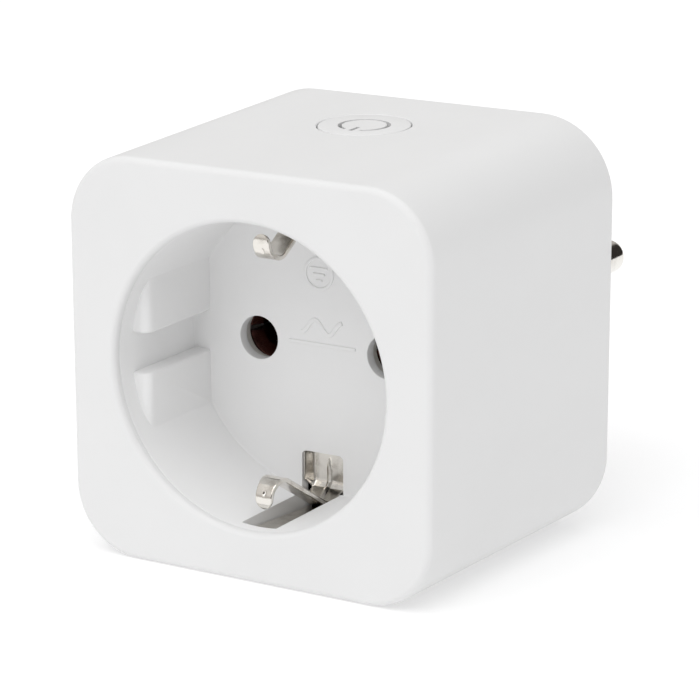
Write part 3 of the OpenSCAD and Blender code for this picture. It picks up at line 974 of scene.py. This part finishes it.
def earth_arm():
    """A spring arm with a curled hump, wider where it bears on the plug."""
    path = arc(ARM_CREST_R, 205, 90 - ARM_SLOPE, 30, ARM_CREST)
    path += [path[-1].lerp(Vector(ARM_HINGE), k / 6) for k in range(1, 7)]
    tail = (Vector(ARM_HINGE) - path[-2]).normalized() * 0.25
    path.append(path[-1] + tail)

    def dimple(x, s):
        """A small pressed dot near the curled end."""
        return -0.2 * math.exp(-((x - 0.1) ** 2 + (s - 1.9) ** 2) / 0.04)

    widths = [(0, 1.15), (2.0, 1.25), (5.0, 1.5), (40, 1.5)]
    return sheet(path, widths, side_on(), (1.1, 0.3), dimple, 24)


def earth_clip():
    """The clip behind the window, with a pressed rib and a rolled left edge."""
    line = [(31, -15.4), (27.8, -15.4), (25.4, -12.6), (21.1, -12.6), (20.3, -13.4), (20.3, -18.6),
            (19.6, -19.4), (17.69, -20.5)]
    path = fillet(line, [0, 0.8, 0.8, 0.7, 0.7, 1.0, 0.8, 0], 6, closed=False)
    fine = []
    for a, b in zip(path, path[1:]):
        steps = max(1, int((b - a).length / 0.25))
        fine += [a.lerp(b, k / steps) for k in range(steps)]
    path = fine + [path[-1]]
    marks = lengths_along(path)
    rib_start = next(s for s, p in zip(marks, path) if p.x < 20.6 and p.y < -15.2)
    foot = next(s for s, p in zip(marks, path) if p.x < 19.9 and p.y < -19.0)
    roll_x = -1.95

    def pressed(x, s):
        """The rib down the middle and the roll of the left edge."""
        rib = 0.0
        if s > rib_start:
            width = 0.34 * min(1.0, (s - rib_start) / 1.4) + 0.02
            rib = 0.36 * max(0.0, 1 - abs(x - 0.05) / width) ** 0.7 * min(1.0, (s - rib_start) / 0.5)
        rolled = 0.0
        if rib_start - 1.5 < s < foot + 0.6 and x < roll_x:
            fade = max(0.0, min(1.0, (s - rib_start + 1.5) / 0.6, (foot + 0.6 - s) / 0.5))
            rolled = 1.95 * fade * ((roll_x - x) / 0.9) ** 1.6
        return -rib - rolled

    widths = [(0, 2.85), (foot + 0.1, 2.85), (foot + 0.7, 2.3), (marks[-1], 2.2)]
    return sheet(path, widths, side_on(-0.15), (0.6, 0.2), pressed, 60)


def earth_strap():
    """The strap that lines the trough and runs back along the boss."""
    line = [(3, -20.75), (16, -21.75), (21.8, -21.75), (25.6, -16), (PLUG_D - 1.2, -16)]
    path = fillet(line, [0, 2.5, 1.6, 1.6, 0], 8, closed=False)
    return sheet(path, [(0, 2.3)], side_on(), (0.5, 1.2), columns=10)


def build_earth():
    """The bottom contact, and the same upside down at the top."""
    for end, turn in (("bottom", lambda part: part), ("top", flip_z)):
        make(f"earth_spring_{end}", turn(earth_arm()), nickel_strip, f"earth_arm_{end}",
             body=f"{end}_earth_arm")
        make(f"earth_contact_{end}", turn(earth_clip()), nickel_strip, f"earth_clip_{end}")
        make(f"earth_rail_{end}", turn(earth_strap()), nickel_strip, f"earth_strap_{end}")


build_earth()


# ---- Back cover, screws and pins ----

def build_cover():
    """The back plate with the plug boss: side flats with key ribs, and grooves for the earth straps."""
    far = PLUG_D + 1
    outline = round_square(BACK_HALF - WALL - 0.3, BACK_CORNER - WALL - 0.3)
    boss = bore(BOSS_R, BODY_D - 0.3, PLUG_D, face_on(), 192, 0.6)
    cuts = [bore(14.4, PLATE_FRONT - 1, FACE_IN, face_on(), 128, 0.8)]
    seat = [(0, PLATE_FRONT - 1), (1.5, PLATE_FRONT - 1), (1.5, HEAD_SEAT), (2.9, HEAD_SEAT),
            (2.9, BODY_D + 1), (0, BODY_D + 1)]
    for side, contact, corner in zip(SIDES, CONTACTS, SCREWS):
        for x0, z0, z1 in ((16.6, 2.3, 12), (16.6, -12, -2.3), (17.6, -2.4, 2.4)):
            cuts.append(slab([rectangle(*span(side, x0, 20), z0, z1)], face_on(), BODY_D, far))
        cuts.append(slab([rectangle(-2.6, 2.6, *span(side, 15.7, 20))], face_on(), BODY_D, far))
        strap = rectangle(-2.5, 2.5, *span(side, 15.5, 16.5))
        cuts.append(slab([strap], face_on(), PLATE_FRONT - 1, BODY_D + 1))
        cuts.append(bore(2.8, FACE_IN - 1, far, contact))
        cuts.append(turned(seat, corner))
        for x, z in ((21, -20), (20, -13.5)):
            cuts.append(bore(1.3, BODY_D - 0.12, BODY_D + 1, face_on(side * x, side * z), 48))
    cuts.append(slab([circle(15.3, 128), circle(14.9, 128)], face_on(), PLUG_D - 0.2, far))
    make("plug_boss", slab([outline], face_on(), PLATE_FRONT, BODY_D, 0.2), white_cover, "back_cover",
         [boss], cuts, bevel=0.2, angle=40)


def screw(place):
    """A thread-forming screw: a helical thread and a low round head."""
    radius, depth, pitch, count = 1.2, 0.3, 1.1, 40
    low, high = 32.0, HEAD_SEAT
    rings = []
    steps = int((high - low) / pitch * 10)
    for k in range(steps + 1):
        t = low + (high - low) * k / steps
        taper = min(1.0, 0.45 + (t - low) / 2.5)
        cut = min(1.0, max(0.0, (high - 0.8 - t) / 0.6))
        ring = []
        for i, p in enumerate(circle(1.0, count)):
            phase = (t / pitch - i / count) % 1.0
            crest = max(0.0, 1 - abs(2 * phase - 1) * 1.6)
            r = taper * (radius - depth * cut * (1 - crest))
            ring.append(place(r * p.x, r * p.y, t))
        rings.append(ring)
    head = [(radius, high + 0.02), (2.7, high + 0.02), (2.7, high + 1.2), (1.6, high + 1.2)]
    for r, t in fillet(head, [0, 0.1, 0.5, 0], 5, closed=False):
        rings.append([place(p.x, p.y, t) for p in circle(r, count)])
    return skin(rings)


def build_screws():
    """Both screws, with a cross recess in each head."""
    low, high = BODY_D - 0.8, BODY_D + 0.9
    crosses = []
    for at in (-SCREW_AT, SCREW_AT):
        for x, z in ((1.5, 0.3), (0.3, 1.5)):
            crosses.append(brick((at - x, low, at - z), (at + x, high, at + z), 0.08))
    shanks = join(*[screw(place) for place in SCREWS])
    make("thread_forming_screws", shanks, screw_steel, "cover_screws", cut=crosses, angle=40)


def build_pins():
    """Turned pins: a round tip, a conical root, a seat, a flange behind the boss face and a stud."""
    flange = FACE_IN - 1.6
    stud = [(0, 37.9), (STUD_R, 37.9), (STUD_R, flange), (3.6, flange), (3.6, FACE_IN), (2.8, FACE_IN),
            (2.8, PLUG_D), (PIN_R, PLUG_D + 0.4), (PIN_R, 80.0)]
    profile = fillet(stud, [0, 0.25, 0.1, 0.2, 0.15, 0.05, 0.08, 0.1, 0], 4, closed=False)
    for a in range(0, 90, 6):
        turn = math.radians(a)
        profile.append(Vector((PIN_R * math.cos(turn), 80.5 + 2 * math.sin(turn))))
    profile.append(Vector((0, 82.5)))
    for name, side in (("live_pin", 1), ("neutral_pin", -1)):
        make(f"turned_{name}", turned(profile, face_on(side * CONTACT_X), 72), nickel_pin, name)


build_cover()
build_screws()
build_pins()


# ---- Contacts and bars ----

STUD_HOLES = [circle(1.65, 48, (side * CONTACT_X, 0)) for side in SIDES]


def build_carrier():
    """The plate and the two tubes that hold the contacts."""
    tubes = [bore(5.5, 19.8, 35, place) for place in CONTACTS]
    hollow = [(0, 19), (3.4, 19), (3.4, 19.7), (3.2, 20), (3.2, 21), (4.7, 21), (4.7, 34.4), (4.9, 35),
              (4.9, 36), (0, 36)]
    plate = slab([oblong(16.5, 6.4, 1.2)], face_on(), 19.7, 21, 0.2)
    make("contact_housing", plate, carrier_plastic, "contact_carrier", tubes,
         [turned(hollow, place) for place in CONTACTS], bevel=0.12, angle=40)


def build_contacts():
    """A slotted tulip contact with a tail for each pin, and the springs round them."""
    sleeve = [(0, 35), (2.5, 35), (2.5, 23.2), (3.4, 21.6), (4, 21.6), (3.6, 23.2), (3.6, 36.2), (0, 36.2)]
    radii = [0, 0.4, 0.6, 0.15, 0.15, 0.6, 0.3, 0]
    for name, x in (("live_contact", CONTACT_X), ("neutral_contact", -CONTACT_X)):
        tulip = new_object(f"tulip_{name}", lathe(sleeve, radii, face_on(x), 72))
        carve(tulip, [brick((x - 5, 21, -0.4), (x + 5, 33, 0.4), 0.3)])
        foot = brick((x - 1.2, 35.1, 0.5), (x + 1.2, 36.1, 4), 0.1)
        tail = brick((x - 1.2, 35.1, 3.2), (x + 1.2, 41.2, 4), 0.15)
        carve(tulip, [foot, tail], "UNION")
        # The tulips' dark brass is painted shade for the holes they sit behind.
        dress(tulip, contact_brass, name, bevel=0.06, angle=40)
    ring = arc(4.2, -40, 220, 60) + arc(3.65, 220, -40, 60)
    rings = [slab([ring], place, 25, 28, 0.12) for place in CONTACTS]
    make("spring_collars", join(*rings), screw_steel, "contact_springs")


def build_retainer():
    """The disc that keeps the pins, with a groove and a seat for each flange."""
    cuts = [slab([circle(12.6, 96), circle(12, 96)], face_on(), 57.5, 58.4)]
    cuts += [bore(2.6, 57.5, 58.5, place) for place in CONTACTS]
    make("pin_clamp", slab([circle(14.2, 128)] + STUD_HOLES, face_on(), 58.1, 59.55, 0.25),
         carrier_plastic, "pin_retainer", cut=cuts, bevel=0.08, angle=40)


def build_bars():
    """Flat bars on the main board, with holes for the studs and tails."""
    neutral_hole, live_hole = STUD_HOLES
    tail_holes = [fillet(rectangle(low, low + 2.5, 3.15, 4.05), 0.1) for low in (-10.75, 8.25)]
    load = [(7.5, 2.6), (18.8, 2.6), (18.8, -15.5), (21.4, -15.5), (21.4, 5), (7.5, 5)]
    bars = {
        "live_busbar": ([fillet(rectangle(7.6, 11.4, -13, 2.2), 0.6), live_hole], 38.3),
        "neutral_busbar": ([fillet(rectangle(-12.1, -6.9, -2.4, 5), 0.6), neutral_hole, tail_holes[0]], 38.3),
        "load_busbar": ([fillet(load, 0.5), tail_holes[1]], BOARD_BACK),
    }
    for name, (loops, low) in bars.items():
        make(f"punched_{name}", slab(loops, face_on(), low, low + 0.6, 0.1), contact_brass, name)


build_carrier()
build_contacts()
build_retainer()
build_bars()


# ---- Switch and boards ----

def build_switch():
    """The push switch: a bored body, a riveted tin lid and the plunger."""
    z = KEY_BOARD_Z
    place = top_down(0, BUTTON_D)
    body = brick((-3, BUTTON_D - 3, z), (3, BUTTON_D + 3, z + 2.85), 0.25)
    make("key_switch", body, switch_black, "switch_body", cut=[bore(1.75, z + 1.5, z + 4, place)])
    lid = [slab([oblong(2.95, 2.95, 0.35), circle(1.8, 48)], place, z + 2.86, z + 3.05, 0.05)]
    rivet = [(0, z + 2.9), (0.42, z + 2.9), (0.38, z + 3.07), (0.22, z + 3.1), (0, z + 3.1)]
    for x in (-2.2, 2.2):
        lid += [turned(rivet, top_down(x, BUTTON_D + d), 24) for d in (-2.2, 2.2)]
    make("key_switch_lid", join(*lid), shield_tin)
    top = PLUNGER_TOP
    stem = [(0, z + 2), (1.7, z + 2), (1.7, top), (0.9, top), (0.7, top - 0.1), (0, top - 0.1)]
    make("key_plunger", lathe(stem, [0, 0.1, 0.25, 0, 0, 0], place, 48), switch_black, "switch_plunger",
         body="plunger")


def build_button_board():
    """The small board under the button, with its lamps, chips and their soldered ends."""
    z = KEY_BOARD_Z
    outline = [(-14, 20.1), (-2.8, 20.1), (-2.8, 24.8), (2.8, 24.8), (2.8, 20.1), (14, 20.1),
               (14, BOARD_FRONT), (-14, BOARD_FRONT)]
    vias = [circle(0.4, 20, (x, d)) for x in (-12, 12) for d in (22.5, 36.5)]
    board = slab([fillet(outline, 0.5)] + vias, top_down(), z - 1, z, 0.06)
    make("key_board", board, board_green, "button_board")
    dome = [(0, z + 0.3), (0.42, z + 0.3), (0.4, z + 0.5), (0.28, z + 0.65), (0, z + 0.7)]
    leds, ends, chips = [], [], []
    for side in SIDES:
        x = side * 4.4
        leds.append(brick((x - 0.45, 27.95, z + 0.02), (x + 0.45, 29.25, z + 0.35), 0.08))
        leds.append(turned(dome, top_down(x, 28.6), 32))
        for d in (27.8, 29.1):
            ends.append(brick((x - 0.5, d, z), (x + 0.5, d + 0.3, z + 0.3), 0.05))
        for d in (31.4, 33.2):
            chips.append(brick((x - 0.4, d, z), (x + 0.4, d + 1.2, z + 0.45), 0.06))
            for e in (d - 0.05, d + 0.97):
                ends.append(brick((x - 0.42, e, z), (x + 0.42, e + 0.28, z + 0.47), 0.05))
    chips.append(brick((8.2, 30.6, z + 0.2), (12.2, 34.6, z + 1.1), 0.12))
    for k in range(5):
        d = 31.0 + 0.8 * k
        for x in (7.5, 12.25):
            ends.append(brick((x, d - 0.15, z), (x + 0.7, d + 0.15, z + 0.4), 0.05))
    make("indicator_lenses", join(*leds), led_lens, "indicator_leds")
    make("key_board_chips", join(*chips), relay_black)
    make("key_board_solder", join(*ends), shield_tin)


# Where the leads of each part come through the main board, as (X, Z).
LEADS = {
    "supply capacitors": ((-6.4, -19.4), (-6.4, -21.8), (-13.2, -19.4), (-13.2, -21.8)),
    "film capacitor": ((18.9, 4), (18.9, -4)),
    "varistor": ((-19.4, -1.5), (-19.4, 3.5)),
    "resistor": ((13.8, 9.6), (13.8, 12.4)),
    "choke": ((8, 13.4), (8, 8.6)),
    "relay": ((6.2, -19), (6.2, -10), (17.6, -19), (17.6, -10)),
    "transformer": ((-12.8, -14.6), (-6, -14.6), (-12.8, -8.6), (-6, -8.6)),
    "radio board": ((-15.2, 10), (-15.2, 12), (-15.2, 14), (-15.2, 16)),
}


def build_main_board():
    """The main board with its openings, three chips and the solder of every lead."""
    loops = [oblong(BOARD_HALF, BOARD_HALF, 7, 10)]
    for side in SIDES:
        x = side * CONTACT_X
        loops += [rectangle(-2.6, 2.6, *span(side, 15.4, 16.6)), circle(1.7, 48, (x, 0)),
                  rectangle(x - 1.4, x + 1.4, 3.1, 4.1)]
    make("power_board", slab(loops, face_on(), BOARD_FRONT, BOARD_BACK), board_green, "main_board",
         cut=[bore(3.8, 38, 41.5, place) for place in SCREWS], bevel=0.06, angle=50)
    chips, solder = [], []
    foot = BOARD_FRONT - 0.15
    for x, z, half, tall, pins in ((0, 0, 2.4, 1.2, 4), (0.2, 8.3, 1.6, 1.0, 3), (-0.6, -8.5, 1.4, 1.0, 2)):
        chips.append(brick((x - half, foot - tall, z - half), (x + half, foot, z + half), 0.12))
        for k in range(pins):
            at = z + (k - (pins - 1) / 2) * 1.0
            for side in SIDES:
                low, high = (x + end for end in span(side, half, half + 0.6))
                solder.append(brick((low, foot - 0.25, at - 0.18), (high, BOARD_FRONT, at + 0.18), 0.05))
    cone = [(0, 40.45), (0.85, 40.45), (0.8, 40.55), (0.5, 40.8), (0.32, 41.2), (0.3, 41.5), (0, 41.55)]
    for places in LEADS.values():
        solder += [turned(cone, face_on(x, z), 24) for x, z in places]
    make("power_board_chips", join(*chips), relay_black)
    make("power_board_solder", join(*solder), shield_tin)


def build_radio():
    """The small upright board, its shield can and its folded antenna track."""
    make("radio_board", node_brick("wifi_board", 0.12), board_green, "wifi_board")
    cuts = [hollow("wifi_shield", 0.25, (0.85, 0, 0))]
    for d in (26, 28.5, 31):
        cuts += [bore(0.4, -18.5, -17, side_on(0, d, z), 24) for z in (11.5, 13.5, 15.5)]
    make("radio_shield", node_brick("wifi_shield", 0.4), shield_tin, "wifi_shield", cut=cuts, bevel=0.05,
         angle=50)
    runs = []
    for k in range(7):
        z = 9 + 1.4 * k
        runs.append(brick((-15.66, 21.3, z), (-15.55, 22.6, z + 0.3), 0.03))
        if k < 6:
            d = 21.3 if k % 2 else 22.3
            runs.append(brick((-15.65, d + 0.01, z + 0.01), (-15.56, d + 0.29, z + 1.69), 0.03))
    make("radio_antenna", join(*runs), coil_copper)


build_switch()
build_button_board()
build_main_board()
build_radio()


# ---- Parts on the main board ----

RELAY_X, RELAY_Z = 11.8, -14.55


def build_relay_case():
    """The relay's cover with its vent, and its foot."""
    vent = bore(0.5, 22.5, 25, face_on(20.4, -20.2), 24)
    make("relay_cover", node_brick("relay_case", 0.7, 4), relay_black, "relay_case",
         cut=[hollow("relay_case", 0.8, (0, 1.8, 0)), vent], bevel=0.06, angle=50)
    make("relay_foot", node_brick("relay_base", 0.25), relay_black, "relay_base")


def build_relay_coil():
    """The spool, its winding and the iron frame with the core."""
    z = RELAY_Z
    place = face_on(RELAY_X, RELAY_Z)
    flange = oblong(5.1, 5.4, 1.0, 4)
    flanges = [slab([flange], place, low, low + 0.7, 0.1) for low in (26, 34.6)]
    make("relay_spool", bore(2.9, 26.1, 35.2, place), bobbin_nylon, "relay_bobbin", flanges,
         [bore(2.25, 25, 36, place)], bevel=0.1, angle=50)
    make("relay_winding", winding(circle(4.9, 72), place, 26.75, 34.55, 0.3, 1.9), coil_copper, "relay_coil")
    legs = [brick((5.2, 25.3, z - 4.5), (6.5, 36.5, z + 4.5), 0.25),
            brick((5.2, 35.4, z - 4.5), (15, 36.5, z + 4.5), 0.25)]
    make("relay_frame", bore(2.2, 25.7, 36, place), relay_iron, "relay_yoke", legs, bevel=0.08, angle=50)


def build_relay_contacts():
    """The rocker with its spring leaf, and the fixed contact."""
    z = RELAY_Z
    at = face_on(19.8, z)
    make("relay_rocker", node_brick("relay_armature"), relay_iron, "relay_armature", body="armature")
    tongue = [(12.5, -2.2), (17, -2.2), (18.5, -1.5), (21, -1.5), (21, 1.5), (18.5, 1.5), (17, 2.2),
              (12.5, 2.2)]
    dome = [(0, 24.42), (1, 24.42), (1, 24.75), (0.85, 24.9), (0.5, 24.98), (0, 25)]
    make("relay_tongue", slab([fillet(tongue, 0.5)], face_on(0, z), 24.3, 24.5, 0.05), contact_brass,
         "relay_leaf", [turned(dome, at, 40)], body="armature", angle=40)
    dome = [(0, 26), (0.5, 26.02), (0.85, 26.1), (1, 26.25), (1, 26.6), (0, 26.6)]
    stem = brick((20.4, 26.55, z - 1.75), (20.9, 36.6, z + 1.75), 0.12)
    make("relay_anvil", brick((18.2, 26.5, z - 1.8), (20.9, 27, z + 1.8), 0.15), contact_brass,
         "relay_contacts", [stem, turned(dome, at, 40)], bevel=0.04, angle=50)


def build_transformer():
    """A ferrite core, its spool and a taped winding."""
    x, d, z = -9.4, 33, -11.6
    windows = [fillet(rectangle(side * 2.9 - 1.3, side * 2.9 + 1.3, -3.6, 4.2), 0.2) for side in SIDES]
    core = slab([fillet(rectangle(-5.6, 5.6, -5, 5.6), 0.4)] + windows, top_down(x, d), z - 2.4, z + 2.4, 0.2)
    make("transformer_ferrite", core, ferrite, "transformer_core")
    place = face_on(x, z)
    flange = oblong(4.15, 4, 0.7, 4)
    flanges = [slab([flange], place, low, low + 0.6, 0.1) for low in (29.5, 36.5)]
    hole = slab([rectangle(-1.65, 1.65, -2.45, 2.45)], place, 29, 38)
    make("transformer_spool", slab([oblong(2.1, 2.9, 0.3)], place, 29.6, 37), relay_black,
         "transformer_bobbin", flanges, [hole], bevel=0.08, angle=50)
    outline = oblong(3.9, 3.9, 1.2, 6)
    dense = []
    for i, p in enumerate(outline):
        dense += [outline[i - 1].lerp(p, k / 4) for k in range(4)]
    make("transformer_tape", winding(dense, place, 30.15, 36.45, 2.1, 0.9), winding_tape,
         "transformer_winding", angle=60)


def build_capacitors():
    """Two sleeved cans with scored tops, and the potted film capacitor."""
    profile = [(0, 27.2), (2.3, 27.2), (2.45, 27), (3.1, 27), (3.1, 37.2), (2.8, 37.5), (2.8, 37.8),
               (3.1, 38.1), (3.1, BOARD_FRONT), (0, BOARD_FRONT)]
    radii = [0, 0.1, 0.1, 0.4, 0.2, 0.2, 0.2, 0.2, 0.2, 0]
    cans, vents = [], []
    for x in (-6.4, -13.2):
        cans.append(lathe(profile, radii, face_on(x, -20.6)))
        vents.append(brick((x - 1.7, 26.5, -20.7), (x + 1.7, 27.35, -20.5), 0.05))
        vents.append(brick((x - 0.1, 26.5, -22.3), (x + 0.1, 27.35, -18.9), 0.05))
    make("electrolytic_cans", join(*cans), capacitor_sleeve, "supply_capacitors", cut=vents, angle=40)
    potting = brick((16.7, BOARD_FRONT - 0.6, -5.5), (21.1, BOARD_FRONT + 0.6, 5.5), 0.3)
    make("film_capacitor", node_brick("filter_capacitor", 0.7, 4), film_capacitor_yellow,
         "filter_capacitor", cut=[potting], bevel=0.08, angle=50)


def build_small_parts():
    """The varistor and its leads, the fusible resistor and the choke."""
    disc = [(0, -21.4), (2.6, -21.3), (4.0, -20.8), (4.45, -20.2), (4.6, -19.4), (4.45, -18.6), (4.0, -18.0),
            (2.6, -17.5), (0, -17.4)]
    make("varistor_disc", turned(disc, side_on(0, 33.6, 1)), varistor_blue, "varistor", angle=60)
    leads = [bore(0.35, 36.4, 38.85, face_on(-19.4, z), 20) for z in (-1.5, 3.5)]
    make("varistor_leads", join(*leads), shield_tin)
    barrel = [(0, 29), (1.2, 29), (1.9, 29.5), (1.9, 31), (1.65, 31.8), (1.65, 36.2), (1.9, 37), (1.9, 38.4),
              (1.2, BOARD_FRONT), (0, BOARD_FRONT)]
    radii = [0, 0.3, 0.4, 0.4, 0.4, 0.4, 0.4, 0.4, 0.3, 0]
    make("fusible_resistor", lathe(barrel, radii, face_on(13.8, 11), 48), resistor_ceramic,
         "fuse_resistor", angle=50)
    place = face_on(8, 11)
    drum = [(0, 29), (3.4, 29), (3.4, 30), (1.8, 30), (1.8, 37.9), (3.4, 37.9), (3.4, BOARD_FRONT),
            (0, BOARD_FRONT)]
    make("choke_drum", lathe(drum, [0, 0.2, 0.2, 0.2, 0.2, 0.2, 0.2, 0], place), ferrite, "choke", angle=50)
    make("choke_winding", winding(circle(2.6, 56), place, 30.05, 37.85, 0.42, 0.7), coil_copper)


build_relay_case()
build_relay_coil()
build_relay_contacts()
build_transformer()
build_capacitors()
build_small_parts()


# ---- Floor, light and camera ----

AMBIENT = 0.62


def build_floor():
    """A pale floor that meets the sloping underside."""
    slope = math.atan2(BACK_HALF - FRONT_HALF, BODY_D)
    reach = 3.0
    corners = [(-reach, -reach, 0), (reach, -reach, 0), (reach, reach, 0), (-reach, reach, 0)]
    mesh = bpy.data.meshes.new("floor")
    mesh.from_pydata(corners, [], [(0, 1, 2, 3)])
    floor = bpy.data.objects.new("floor", mesh)
    bpy.context.scene.collection.objects.link(floor)
    floor.location = (0, FRONT * MM, -(FRONT_HALF + 0.01) * MM)
    floor.rotation_euler = (-slope, 0, 0)
    finish = Finish("pale_floor", (0.68, 0.68, 0.68), 0.9, Emission_Color=(1, 1, 1, 1),
                    Emission_Strength=0.36)
    finish.stain((0.675, 0.675, 0.68), 60, 3.0, 0.3, 0.7)
    mesh.materials.append(finish.material)


def build_world():
    """A white backdrop, soft light from all round, and a dim room with a bright ceiling in reflections."""
    world = bpy.data.worlds.new("studio")
    bpy.context.scene.world = world
    world.use_nodes = True
    wiring = Wiring(world.node_tree)
    split = wiring.node("ShaderNodeSeparateXYZ")
    wiring.link(wiring.node("ShaderNodeTexCoord").outputs["Generated"], split.inputs[0])
    rays = wiring.node("ShaderNodeLightPath").outputs
    left = wiring.ramp(split.outputs["X"], -0.1, 0.12, 1.0, 0.0)
    ceiling = wiring.ramp(split.outputs["Z"], 0.78, 0.9, 0.0, 1.0)
    room = wiring.mix(left, (0.03, 0.026, 0.024), (0.5, 0.48, 0.46))
    room = wiring.mix(ceiling, room, (0.76, 0.76, 0.74))
    seen = wiring.mix(rays["Is Glossy Ray"], (AMBIENT, AMBIENT, AMBIENT), room)
    seen = wiring.mix(rays["Is Camera Ray"], seen, (1.0, 1.0, 1.0))
    wiring.link(seen, wiring.tree.nodes["Background"].inputs["Color"])


def sun(name, direction, strength, spread):
    """A large soft light far away, shining from a direction."""
    data = bpy.data.lights.new(name, "SUN")
    data.energy = strength
    data.angle = math.radians(spread)
    lamp = bpy.data.objects.new(name, data)
    bpy.context.scene.collection.objects.link(lamp)
    lamp.rotation_mode = "QUATERNION"
    lamp.rotation_quaternion = Vector(direction).to_track_quat("Z", "Y")


def build_camera():
    """A long lens at the right of the socket face, looking slightly down."""
    yaw, pitch, roll = 0.5397, 0.2683, -0.0018
    place = Matrix.Translation((0.1968, -0.3671, 0.1033))
    forward = Vector((-math.sin(yaw) * math.cos(pitch), math.cos(yaw) * math.cos(pitch), -math.sin(pitch)))
    right = forward.cross(Vector((0, 0, 1))).normalized()
    up = right.cross(forward)
    level = Matrix((right, up, -forward)).transposed()
    data = bpy.data.cameras.new("camera")
    data.sensor_width = 36
    data.lens = 158.05
    data.clip_start = 0.01
    camera = bpy.data.objects.new("camera", data)
    bpy.context.scene.collection.objects.link(camera)
    camera.matrix_world = place @ (level @ Matrix.Rotation(roll, 3, "Z")).to_4x4()
    bpy.context.scene.camera = camera


build_floor()
build_world()
sun("top_light", (0.0, 0.0, 1.0), 0.5, 60)
sun("upper_light", (0.15, -1.0, 1.6), 0.95, 60)
sun("left_light", (-0.5, -0.9, 0.9), 0.18, 60)
build_camera()
bpy.context.scene.view_settings.view_transform = "Standard"
